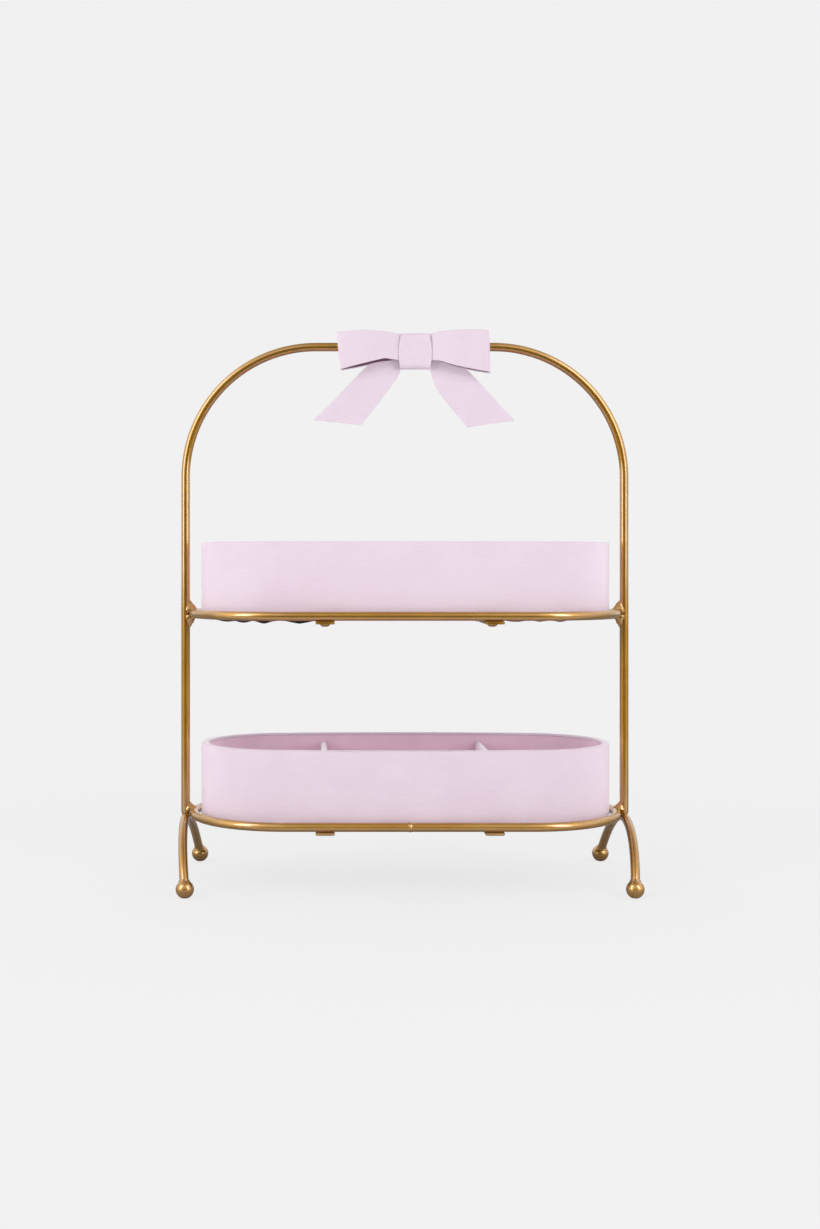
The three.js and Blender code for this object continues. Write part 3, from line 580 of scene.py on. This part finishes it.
def weld_bead(side, ring_z, reach):
    """Lump of weld on an upright, from the ring to where it runs out above or below."""
    rings = []
    widest = BEAD_REACHES[1 if reach > 0 else -1]
    for step in range(BEAD_STEPS + 1):
        share = step / BEAD_STEPS
        dome = math.sqrt(1 - (1 - min(1.0, share / BEAD_DOME)) ** 2)
        towards = mix(widest, BEAD_TIP, share) * mix(BEAD_END_WIDTH, 1, dome)
        back = mix(BEAD_BACK, BEAD_TIP, share ** BEAD_BACK_TAPER) * mix(BEAD_END_WIDTH, 1, dome)
        depth = mix(BEAD_DEPTH, BEAD_TIP, share ** BEAD_DEPTH_TAPER) * mix(BEAD_END_DEPTH, 1, dome)
        height = ring_z + mix(math.copysign(BEAD_START, reach), reach, share)
        rings.append([])
        for a in turns(BEAD_SIDES):
            inward = math.cos(a) * (towards if math.cos(a) > 0 else back)
            place = UPRIGHT_X - ROD_RADIUS + BEAD_TIP - inward
            rings[-1].append(Vector((side * place, depth * math.sin(a), height)))
    points, faces = loft(rings)
    for size, rise in BEAD_LUMPS:
        points = lumpy(points, size, rise)
    return points, faces


def rail(start, end, side, steps):
    """Stations of a ring's straight rail in plan, between its ends."""
    places = [mix(start, end, i / steps) for i in range(1, steps)]
    return [((u, side * RING_HALF_DEPTH), (-side, 0), ROD_RADIUS) for u in places]


def ring_end(end_x, start):
    """Stations of a ring's round end in plan."""
    half_turn = arc((end_x, 0), RING_HALF_DEPTH, start, start + math.pi, RING_END_STEPS)
    return [(point, direction, ROD_RADIUS) for point, direction in half_turn]


def ring_bar(ring_z, seam_side):
    """Ring bent from one bar, with the seam of its butt weld in the middle of the front or rear rail."""
    end_x = RING_HALF_LENGTH - RING_HALF_DEPTH
    path = []
    for i in range(SEAM_STEPS + 1):
        u = mix(-SEAM_HALF_LENGTH, SEAM_HALF_LENGTH, i / SEAM_STEPS)
        radius = ROD_RADIUS + SEAM_RISE * math.exp(-(u / SEAM_WIDTH) ** 2)
        path.append(((u, -RING_HALF_DEPTH), (1, 0), radius))
    path += rail(SEAM_HALF_LENGTH, end_x, -1, RING_SIDE_STEPS)
    path += ring_end(end_x, -math.pi / 2)
    path += rail(end_x, -end_x, 1, 2 * RING_SIDE_STEPS)
    path += ring_end(-end_x, math.pi / 2)
    path += rail(-end_x, -SEAM_HALF_LENGTH, -1, RING_SIDE_STEPS)
    turn = -seam_side
    stations = [(Vector((turn * u, turn * v, ring_z)), Vector((turn * du, turn * dv, 0)), radius)
                for (u, v), (du, dv), radius in path]
    return tube(stations, Z, is_loop=True)


def notch_weld(side):
    """Weld metal in the notch between the cut foot of an upright and the leg under it."""
    profile = [(radius * MM, UPRIGHT_FOOT_Z + height * MM) for radius, height in NOTCH_WELD]
    profile = [(0, profile[0][1]), *profile, (0, profile[-1][1])]
    points, faces = lathe(profile, BEAD_SIDES, Vector((side * UPRIGHT_X, 0, 0)))
    return lumpy(points, *NOTCH_LUMPS), faces


def ring(tier, reaches, seam_side):
    ring_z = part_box(f"{tier}_left_strap")[1].z + RING_ABOVE_STRAP
    welds = [weld_bead(side, ring_z, reach) for side in (-1, 1) for reach in reaches]
    if tier == "lower":
        welds += [notch_weld(side) for side in (-1, 1)]
    return joined(ring_bar(ring_z, seam_side), *welds)


def leg(side):
    sweep = LEG_SWEEP - (BALL_RADIUS - BALL_SOCKET) / LEG_BEND
    lean = side * LEG_LEAN / LEG_FALL
    stations = []
    for i in range(LEG_STEPS + 1):
        a = mix(sweep, -sweep, i / LEG_STEPS)
        sunk = LEG_BEND * (1 - math.cos(a))
        point = Vector((side * UPRIGHT_X - lean * sunk, LEG_BEND * math.sin(a), LEG_TOP - sunk))
        direction = Vector((lean * math.sin(a), -math.cos(a), math.sin(a))).normalized()
        stations.append((point, direction, ROD_RADIUS))
    return tube(stations, Vector((1, 0, -lean)).normalized())


def foot(side, end):
    """Ball with a flat underside and a rough weld bead round the leg that enters it."""
    centre = Vector((side * (UPRIGHT_X - LEG_LEAN), end * FOOT_Y, FOOT_Z))
    low = math.asin(-FOOT_Z / BALL_RADIUS)
    profile = [(0, -FOOT_Z)]
    for i in range(BALL_STEPS):
        a = mix(low, math.pi / 2, i / BALL_STEPS)
        profile.append((BALL_RADIUS * math.cos(a), BALL_RADIUS * math.sin(a)))
    ball = lathe(profile + [(0, BALL_RADIUS)], BALL_SIDES, centre)
    lean = side * LEG_LEAN / LEG_FALL
    rise = Vector((lean * math.sin(LEG_SWEEP), -end * math.cos(LEG_SWEEP), math.sin(LEG_SWEEP)))
    rise.normalize()
    mouth = centre + rise * math.sqrt(BALL_RADIUS ** 2 - ROD_RADIUS ** 2)
    across = rise.cross(X).normalized()
    rings = []
    for a in turns(BALL_SIDES):
        spoke = math.cos(a) * across + math.sin(a) * rise.cross(across)
        rings.append([mouth + spoke * (ROD_RADIUS + FOOT_BEAD_RADIUS * math.cos(b))
                      + rise * FOOT_BEAD_RADIUS * math.sin(b) for b in turns(FOOT_BEAD_SIDES)])
    points, faces = loft(rings, is_loop=True)
    return joined(ball, (lumpy(points, *FOOT_BEAD_LUMPS), faces))


def strap_bar(node):
    """Flat bar with bevelled edges and rounded ends."""
    low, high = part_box(node)
    middle = (low + high) / 2
    half = (high - low) / 2
    levels = [(low.z, STRAP_BEVEL), (low.z + STRAP_BEVEL, 0),
              (high.z - STRAP_BEVEL, 0), (high.z, STRAP_BEVEL)]
    rings = []
    for z, inset in levels:
        corners = []
        for sx, sy in ((-1, -1), (1, -1), (1, 1), (-1, 1)):
            for cx, cy in STRAP_CORNER if sx * sy < 0 else reversed(STRAP_CORNER):
                corners.append(Vector((middle.x + sx * (half.x - inset - cx * STRAP_BEVEL),
                                       middle.y + sy * (half.y - inset - cy * STRAP_BEVEL), z)))
        rings.append(corners)
    return loft(rings)


def box_shell(centre, size):
    rings = [[centre + Vector((sx * size.x, sy * size.y, sz * size.z)) / 2
              for sx, sy in ((-1, -1), (1, -1), (1, 1), (-1, 1))] for sz in (-1, 1)]
    return loft(rings)


def cut(made, cutter):
    """Takes the cutter's shape out of a piece for good."""
    modifier = made.modifiers.new("cut", "BOOLEAN")
    modifier.operation = "DIFFERENCE"
    modifier.solver = "EXACT"
    modifier.object = cutter
    shown = made.evaluated_get(bpy.context.evaluated_depsgraph_get())
    mesh = bpy.data.meshes.new_from_object(shown)
    made.modifiers.clear()
    made.data = mesh
    mesh.shade_smooth()
    mesh.set_sharp_from_angle(angle=SHARP_ANGLE)
    bpy.data.objects.remove(cutter)


def screw(node):
    """Pan-head screw that points up, with a cross recess in its head."""
    low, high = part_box(node)
    seat = Vector(((low.x + high.x) / 2, (low.y + high.y) / 2, low.z + SCREW_HEAD_HEIGHT))
    profile = []
    for i in range(SCREW_HEAD_STEPS + 1):
        a = mix(-math.pi / 2, 0, i / SCREW_HEAD_STEPS)
        profile.append((SCREW_HEAD_RADIUS * math.cos(a),
                        -SCREW_HEAD_EDGE + (SCREW_HEAD_HEIGHT - SCREW_HEAD_EDGE) * math.sin(a)))
    tip = high.z - seat.z
    profile += [(SCREW_HEAD_RADIUS, 0), (SCREW_SHANK_RADIUS, 0),
                (SCREW_SHANK_RADIUS, tip - SCREW_SHANK_RADIUS), (0, tip)]
    made = dress(node, lathe(profile, SCREW_SIDES, seat), BRASS)
    for turn in (0, 1):
        span = (SCREW_RECESS_SPAN, SCREW_RECESS_WIDTH)
        size = Vector((span[turn], span[1 - turn], 2 * SCREW_RECESS_DEPTH))
        cut(made, piece("recess", box_shell(Vector((seat.x, seat.y, low.z)), size)))


def build_frame():
    dress("arch_rod", arch(), GOLD)
    dress("upper_ring", ring("upper", UPPER_BEADS, 1), GOLD)
    dress("lower_ring", ring("lower", LOWER_BEADS, -1), GOLD)
    for name, side in (("left", -1), ("right", 1)):
        dress(f"{name}_leg_arch", leg(side), GOLD)
        for place, end in (("front", -1), ("rear", 1)):
            dress(f"{place}_{name}_foot", foot(side, end), GOLD)
            for tier in ("upper", "lower"):
                screw(f"{tier}_{name}_{place}_screw")
        for tier in ("upper", "lower"):
            node = f"{tier}_{name}_strap"
            dress(node, strap_bar(node), GOLD)


# Trays


class Oval:
    """Outline of a tray seen from above: round ends joined by slightly bowed sides."""

    def __init__(self, half_length, half_depth):
        end_radius = half_depth - SIDE_BOW
        side_radius = (half_length ** 2 - 2 * half_length * end_radius + half_depth ** 2) / (2 * SIDE_BOW)
        end_x, side_y = half_length - end_radius, side_radius - half_depth
        meet = math.atan2(side_y, end_x)
        arcs = [
            arc((end_x, 0), end_radius, -meet, meet, TRAY_END_STEPS),
            arc((0, -side_y), side_radius, meet, math.pi - meet, TRAY_SIDE_STEPS),
            arc((-end_x, 0), end_radius, math.pi - meet, math.pi + meet, TRAY_END_STEPS),
            arc((0, side_y), side_radius, math.pi + meet, 2 * math.pi - meet, TRAY_SIDE_STEPS),
        ]
        self.stations = [(Vector((*point, 0)), Vector((direction[1], -direction[0], 0)))
                         for part in arcs for point, direction in part[:-1]]
        ends = self.stations[1:] + self.stations[:1]
        self.length = sum((b[0] - a[0]).length for a, b in zip(self.stations, ends))

    def ring(self, depth, height):
        return [point - depth * out + height * Z for point, out in self.stations]

    def wall(self, section):
        """Shell of a closed section of (depth, height) points carried round the outline."""
        return loft([self.ring(*corner) for corner in section], is_loop=True)


def wall_ripple(point, out):
    """Slight unevenness of a wrapped wall, and the overlap of the wrap's ends at the rear."""
    swell = WALL_RIPPLE * noise.noise(point / WALL_RIPPLE_SIZE)
    if point.y > 0 and 0 < point.x < SEAM_OVERLAP_LENGTH:
        swell += SEAM_OVERLAP * (1 - smooth(point.x / SEAM_OVERLAP_LENGTH))
    return swell * out


def outer_wrap(node, oval, lining_outside):
    low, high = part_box(node)
    foot_z, rim_z = low.z, high.z
    inside = lining_outside + SKIN
    quarter = math.pi / 2
    foot_rise, shoulder = foot_z + FOOT_ROUND, rim_z - RIM_ROUND
    section = [(BASE_HEM, foot_z), (2 * FOOT_ROUND, foot_z)]
    section += arc_points((FOOT_ROUND, foot_rise), FOOT_ROUND, 3 * quarter, 2 * quarter, FOOT_ROUND_STEPS)
    section += [(0, mix(foot_rise, shoulder, i / WALL_STEPS)) for i in range(1, WALL_STEPS)]
    section += arc_points((RIM_ROUND, shoulder), RIM_ROUND, 2 * quarter, quarter, RIM_STEPS)
    section += arc_points((inside - RIM_ROUND, shoulder), RIM_ROUND, quarter, 0, RIM_STEPS)
    section += [(inside, rim_z - RIM_HEM), (lining_outside, rim_z - RIM_HEM),
                (lining_outside, rim_z - SKIN), (SKIN, rim_z - SKIN),
                (SKIN, foot_z + SKIN), (BASE_HEM, foot_z + SKIN)]
    points, faces = oval.wall(section)
    count = len(oval.stations)
    moved = []
    for i, point in enumerate(points):
        depth = section[i // count][0]
        share = 1 - smooth(depth / SKIN)
        moved.append(point + share * wall_ripple(point, oval.stations[i % count][1]))
    made = dress(node, (moved, faces), LEATHER)


def inner_lining(node, oval, outside):
    low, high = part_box(node)
    inside = outside + SKIN
    heights = [mix(low.z, high.z, i / WALL_STEPS) for i in range(WALL_STEPS + 1)]
    section = [(outside, z) for z in heights] + [(inside, z) for z in reversed(heights)]
    made = dress(node, oval.wall(section), SUEDE)


def slab(oval, edge, low, high, drop, sag):
    """Plate of the outline's shape with a softened upper edge, which sags by a function of the place."""
    under = [(SLAB_MIDDLE, low), (edge + 2 * EDGE_SAG_DEPTH, low)]
    under += [(edge + EDGE_SAG_DEPTH * (1 - i / EDGE_SAG_STEPS), low)
              for i in range(1, EDGE_SAG_STEPS + 1)]
    over = [(edge, mix(low, high, SLAB_EDGE))]
    over += [(edge + depth, high - share * drop) for depth, share in SLAB_ROUND]
    over += [(edge + EDGE_SAG_DEPTH, high), (edge + 2 * EDGE_SAG_DEPTH, high), (SLAB_MIDDLE, high)]
    rings = []
    for depth, height in under + over:
        share = 1 - smooth((depth - edge) / EDGE_SAG_DEPTH)
        rings.append([point - Z * share * sag(point) for point in oval.ring(depth, height)])
    return loft(rings)


def floor_pad(node, oval, edge):
    low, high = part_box(node)
    shell = slab(oval, edge, low.z, high.z, PAD_EDGE_DROP, lambda point: 0.0)
    made = dress(node, shell, SUEDE)


def felt_sag(point):
    """The felt comes loose and wavy at its edge beyond the straps."""
    place = (point.x - FELT_DRIFT * (point.y > 0)) / MM
    return max(fall * math.exp(-((place - middle) / half) ** 2) for middle, half, fall in FELT_DIPS) * MM


def base_felt(node, oval, edge, loose):
    low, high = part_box(node)
    shell = slab(oval, edge, low.z, high.z, FELT_EDGE_DROP, lambda point: loose * felt_sag(point))
    made = dress(node, shell, FELT)


def divider(node):
    """Thin board with a rounded top, covered on both sides."""
    low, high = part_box(node)
    middle_x, half = (low.x + high.x) / 2, (high.x - low.x) / 2
    shoulder = high.z - half
    steps, foot_rise = DIVIDER_SIDE_STEPS, low.z + DIVIDER_ROUND
    section = [(-half + DIVIDER_ROUND, low.z), (half - DIVIDER_ROUND, low.z)]
    section += [(half, mix(foot_rise, shoulder, i / steps)) for i in range(steps)]
    section += arc_points((0, shoulder), half, 0, math.pi, DIVIDER_TOP_STEPS)
    section += [(-half, mix(shoulder, foot_rise, i / steps)) for i in range(1, steps + 1)]
    rings = []
    for i in range(DIVIDER_STEPS + 1):
        y = mix(low.y, high.y, i / DIVIDER_STEPS)
        squeeze = 1 - DIVIDER_END_SQUEEZE * (i in (0, DIVIDER_STEPS))
        rings.append([Vector((middle_x + squeeze * x, y, z)) for x, z in section])
    dress(node, loft(rings), DIVIDER_LEATHER_PAINTED_LIGHT)


def tray(tier):
    name = f"{tier}_tray"
    wrap_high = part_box(f"{name}_outer_wrap")[1]
    oval = Oval(wrap_high.x, wrap_high.y)
    lining_outside = wrap_high.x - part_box(f"{name}_inner_lining")[1].x
    outer_wrap(f"{name}_outer_wrap", oval, lining_outside)
    inner_lining(f"{name}_inner_lining", oval, lining_outside)
    floor_pad(f"{name}_floor_pad", oval, lining_outside)
    felt_edge = wrap_high.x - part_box(f"{name}_base_felt")[1].x
    base_felt(f"{name}_base_felt", oval, felt_edge, FELT_LOOSE[tier])
    for side in ("left", "right"):
        divider(f"{name}_{side}_divider")
    for node, material in (("wall_board", CARDBOARD), ("base_board", FIBREBOARD)):
        mesh = frame["nodes"][f"{name}_{node}"].data
        mesh.materials.clear()
        mesh.materials.append(material)


# Bow


def strap_ring(low, high, normal, crown=0.0):
    """Section of a leatherette strap between its two edges, with chamfered corners and a slight crown."""
    half, across = STRAP / 2, high - low
    chamfer, turned = STRAP_CHAMFER / across.length, STRAP_TURN / across.length
    shares = [chamfer] + [mix(turned, 1 - chamfer, i / STRAP_COLUMNS) for i in range(STRAP_COLUMNS + 1)]

    def at(share, offset):
        return low + share * across + normal * (offset - crown * math.sin(math.pi * share))

    front = [at(share, -half) for share in shares]
    back = [at(share, half) for share in reversed(shares)]
    inner = half - STRAP_CHAMFER
    return front + [at(1, -inner), at(1, inner)] + back + [at(0, inner), at(0, -inner)]


def loop_edges(x, is_back):
    """Low and high edge of the loops at a place along them, as (x, z) pairs."""
    side = -1 if x < 0 else 1
    reach = LOOP_REACH[side] * MM
    out = min(1.0, abs(x) / reach)
    lows = LOOP_BACK_LOWS if is_back else LOOP_FRONT_LOWS
    low_z = KNOT_TOP + along(lows[side], abs(x) / MM) * MM
    high_z = KNOT_TOP + along(LOOP_TOPS[side], abs(x) / MM) * MM
    low_x = x * (1 - LOOP_LOW_SLANT[side] * out ** LOOP_SLANT_POWER)
    high_x = x * (1 - LOOP_TOP_SLANT[side] * out ** LOOP_SLANT_POWER)
    return (low_x, low_z), (high_x, high_z)


def loop_front(side, straight):
    """Front of a loop in plan, from the knot to the start of its fold, as (x, y) pairs."""
    fold_front = LOOP_BACK_Y - 2 * LOOP_FOLD
    front = []
    for i in range(LOOP_STEPS):
        away = mix(0, straight, i / LOOP_STEPS)
        out = max(0.0, (away - KNOT_HALF_WIDTH) / (straight - KNOT_HALF_WIDTH))
        puff = LOOP_PUFF * math.sin(math.pi * out ** LOOP_PUFF_POWER)
        front.append((side * away, mix(LOOP_FRONT_Y, fold_front, smooth(LOOP_OPENING * out)) - puff))
    return front


def bow_loops():
    """One strap closed to a ring: front, right fold, back and left fold."""
    straights = {side: LOOP_REACH[side] * MM - LOOP_FOLD - STRAP / 2 for side in (-1, 1)}
    left, right = (loop_front(side, straights[side]) for side in (-1, 1))
    front = [*reversed(left[1:]), *right]
    back = [(x, LOOP_BACK_Y) for x, _ in [*reversed(right[1:]), *left]]
    quarter, fold_y = math.pi / 2, LOOP_BACK_Y - LOOP_FOLD
    right_fold = arc_points((straights[1], fold_y), LOOP_FOLD, -quarter, quarter, FOLD_STEPS)
    left_fold = arc_points((-straights[-1], fold_y), LOOP_FOLD, quarter, 3 * quarter, FOLD_STEPS)
    path = [*front, *right_fold, *back, *left_fold]
    first_back = len(front) + len(right_fold) // 2
    last_back = len(front) + len(right_fold) + len(back) + len(left_fold) // 2
    rings = []
    for i, (x, y) in enumerate(path):
        before, after = path[i - 1], path[(i + 1) % len(path)]
        normal = Vector((before[1] - after[1], after[0] - before[0], 0)).normalized()
        (low_x, low_z), (high_x, high_z) = loop_edges(x, first_back < i < last_back)
        low = Vector((BOW_X + low_x, y, low_z))
        high = Vector((BOW_X + high_x, y, high_z))
        rings.append(strap_ring(low, high, normal))
    made = dress("bow_loops", loft(rings, is_loop=True), BOW_LEATHER_PAINTED_DARKER)
    # The inner side of the strap takes the dark backing, painted shade for the slit between the loop's
    # layers
    made.data.materials.append(SLIT_SHADE_BACKING)
    for i, polygon in enumerate(made.data.polygons):
        polygon.material_index = int(i % len(rings[0]) in INNER_SHADE_COLUMNS)


def bow_tail(side, node):
    rings = []
    for i in range(TAIL_STEPS + 1):
        share = i / TAIL_STEPS
        ends = []
        for edge in (TAIL_INNER[side], TAIL_OUTER[side]):
            x, z = path_point(edge, share)
            clear = max(0.0, (-z - TAIL_SWING_START) / TAIL_SWING_LENGTH)
            y = TAIL_Y - TAIL_SWING * clear ** TAIL_SWING_POWER
            ends.append(Vector((BOW_X + x * MM, y, KNOT_TOP + z * MM)))
        crown = TAIL_CUP * smooth((share - TAIL_CUP_START) / TAIL_CUP_LENGTH)
        rings.append(strap_ring(*ends, Y, crown))
    made = dress(node, loft(rings), BOW_LEATHER_PAINTED_DARKER)


def knot_path():
    """Centre line of the band round loops, tails and rod, from the bottom of its front, in Y and Z."""
    half = STRAP / 2
    top, bottom = KNOT_TOP - half, BOW_LOW.z + half
    shoulder_y = TAIL_Y + STRAP / 2 + LAYER_GAP
    clear = ROD_RADIUS + LAYER_GAP + half
    corners = [(KNOT_FRONT_Y, bottom), (KNOT_FRONT_Y, top), (shoulder_y, top),
               (clear, HANDLE_Z + clear), (clear, HANDLE_Z - clear), (shoulder_y, bottom)]
    corners = [Vector(c) for c in corners]
    rounds = [KNOT_FRONT_CORNERS.get(i, KNOT_CORNER) for i in range(len(corners))]

    def arrival(corner, before, size):
        side = before - corner
        return corner + side.normalized() * min(size, KNOT_CORNER_SHARE * side.length)

    path = []
    for i, corner in enumerate(corners):
        following = (i + 1) % len(corners)
        before, after = corners[i - 1], corners[following]
        arrive = arrival(corner, before, rounds[i])
        leave = corner + (after - corner).normalized() * rounds[i]
        for step in range(KNOT_STEPS + 1):
            t = step / KNOT_STEPS
            path.append(arrive * (1 - t) ** 2 + corner * 2 * t * (1 - t) + leave * t * t)
        reached = arrival(after, corner, rounds[following])
        path += [leave.lerp(reached, step / KNOT_STEPS) for step in range(1, KNOT_STEPS)]
    return path


def bow_knot():
    path = knot_path()
    rings, length = [], 0.0
    for i, point in enumerate(path):
        tangent = path[(i + 1) % len(path)] - path[i - 1]
        length += (point - path[i - 1]).length
        normal = Vector((0, -tangent.y, tangent.x)).normalized()
        share = (point.y - BOW_LOW.z) / (KNOT_TOP - BOW_LOW.z)
        half_width = along(KNOT_WAIST, share) * MM
        low = Vector((BOW_X - half_width, point.x, point.y))
        high = Vector((BOW_X + half_width, point.x, point.y))
        rings.append(strap_ring(low, high, -normal))
    made = dress("bow_knot", loft(rings, is_loop=True), BOW_LEATHER_PAINTED_DARKER)


# Stage


def camera():
    data = bpy.data.cameras.new("camera")
    data.sensor_width = SENSOR
    data.lens = FOCAL_PIXELS * SENSOR / IMAGE_HEIGHT
    data.shift_x = (IMAGE_WIDTH / 2 - CENTRE_PIXELS[0]) / IMAGE_HEIGHT
    data.shift_y = (CENTRE_PIXELS[1] - IMAGE_HEIGHT / 2) / IMAGE_HEIGHT
    data.clip_start, data.clip_end = CLIP_START, CLIP_END
    made = bpy.data.objects.new("camera", data)
    made.location = EYE
    made.rotation_euler = (math.pi / 2, 0, 0)
    bpy.context.scene.collection.objects.link(made)
    bpy.context.scene.camera = made


def floor():
    """Pale cloth that runs into the backdrop for the camera and into a dim room for metal to mirror, with
    a painted shadow under and behind the stand in what metal mirrors.
    """
    corners = [Vector((x, y, 0)) * FLOOR_HALF for x, y in ((-1, -1), (1, -1), (1, 1), (-1, 1))]
    made = piece("floor", (corners, [(0, 1, 2, 3)]))
    material = bpy.data.materials.new("pale_floor")
    tree = Tree(material)
    place = tree.add("TexCoord", output="Object")
    cloth = tree.add("BsdfDiffuse", {"Color": FLOOR_COLOUR})
    distance = tree.add("VectorMath", {0: place}, "Value", operation="LENGTH")
    glow_share = tree.span(distance, FLOOR_NEAR, FLOOR_FAR, FLOOR_GLOW_NEAR, 1, "SMOOTHSTEP")
    glow = tree.add("Emission", {"Color": BACKDROP})
    glow_seen = tree.math("MULTIPLY", glow_share, tree.clear_ray())
    lit = tree.add("MixShader", {"Fac": glow_seen, 1: cloth, 2: glow})
    rear = tree.add("SeparateXYZ", {"Vector": place}, "Y")
    front_end = tree.span(rear, *ROOM_FLOOR_END, 0, 1, "SMOOTHSTEP")
    # Painted shadow: in what metal mirrors, the floor darkens under and behind the stand
    painted_floor_shadow = tree.span(rear, *ROOM_FLOOR_SHADOW_SPAN, 1, ROOM_FLOOR_SHADOW_REST, "SMOOTHSTEP")
    dim = tree.add("Emission", {"Color": BACKDROP, "Strength": ROOM_FRONT})
    cloth_share = tree.math("MULTIPLY", front_end, painted_floor_shadow)
    mirrored = tree.add("MixShader", {"Fac": cloth_share, 1: dim, 2: cloth})
    glossy = tree.add("LightPath", output="Is Glossy Ray")
    surface = tree.add("MixShader", {"Fac": glossy, 1: lit, 2: mirrored})
    tree.add("OutputMaterial", {"Surface": surface})
    made.data.materials.append(material)


def tent_level(tree, split, aside):
    wall = tree.span(split["Y"], *TENT_TURN, TENT_FRONT, TENT_REAR, "SMOOTHSTEP")
    tent = tree.span(split["Z"], *TENT_RISE, wall, TENT_CEILING, "SMOOTHSTEP")
    return tree.math("MULTIPLY", tent, tree.span(aside, 0, 1, 1, TENT_SIDE_GAIN))


def room_level(tree, split, aside):
    depth = tree.span(split["Y"], *ROOM_DEPTH, ROOM_FRONT, ROOM_REAR, "SMOOTHSTEP")
    off_middle = tree.absolute(tree.math("SUBTRACT", split["X"], ROOM_UPPER_MIDDLE))
    upper_level = tree.span(off_middle, *ROOM_UPPER_SIDE, *ROOM_UPPER, "SMOOTHSTEP")
    upper = tree.span(split["Z"], *ROOM_UPPER_RISE, 0, upper_level, "SMOOTHSTEP")
    side = tree.span(aside, *ROOM_SIDE_TURN, 0, ROOM_SIDE, "SMOOTHSTEP")
    side_fade = tree.span(split["Y"], *ROOM_SIDE_FADE, 1, ROOM_SIDE_REST, "SMOOTHSTEP")
    sides = tree.math("MULTIPLY", side, side_fade)
    walls = tree.math("MAXIMUM", tree.math("MAXIMUM", depth, upper), sides)
    ceiling = tree.span(split["Z"], *ROOM_CEILING_RISE, 1, ROOM_CEILING, "SMOOTHSTEP")
    return tree.math("MULTIPLY", walls, ceiling)


def world():
    """Light tent brighter at the rear, a pale backdrop for the camera and a graded room for metal."""
    studio = bpy.data.worlds.new("studio")
    bpy.context.scene.world = studio
    tree = Tree(studio)
    split = tree.add("SeparateXYZ", {"Vector": tree.add("TexCoord", output="Generated")}).node.outputs
    aside = tree.absolute(split["X"])
    lit = tree.add("Background", {"Color": tent_level(tree, split, aside)})
    mirrored = tree.add("Background", {"Color": room_level(tree, split, aside), "Strength": BACKDROP[0]})
    backdrop = tree.add("Background", {"Color": BACKDROP})
    glossy = tree.add("LightPath", output="Is Glossy Ray")
    gloss = tree.add("MixShader", {"Fac": glossy, 1: lit, 2: mirrored})
    surface = tree.add("MixShader", {"Fac": tree.clear_ray(), 1: gloss, 2: backdrop})
    tree.add("OutputWorld", {"Surface": surface})


def softbox(name, place):
    data = bpy.data.lights.new(name, "AREA")
    data.shape = "RECTANGLE"
    data.size, data.size_y = SOFTBOX_WIDTH, SOFTBOX_HEIGHT
    data.energy = SOFTBOX_POWER
    made = bpy.data.objects.new(name, data)
    made.location = place
    made.rotation_euler = (STAND_MIDDLE - Vector(place)).to_track_quat("-Z", "Y").to_euler()
    bpy.context.scene.collection.objects.link(made)


noise.seed_set(NOISE_SEED)
build_frame()
for level in ("lower", "upper"):
    tray(level)
bow_loops()
bow_tail(-1, "bow_left_tail")
bow_tail(1, "bow_right_tail")
bow_knot()
camera()
floor()
world()
softbox("left_softbox", SOFTBOX_LEFT)
softbox("right_softbox", SOFTBOX_RIGHT)
bpy.context.scene.view_settings.view_transform = "Standard"
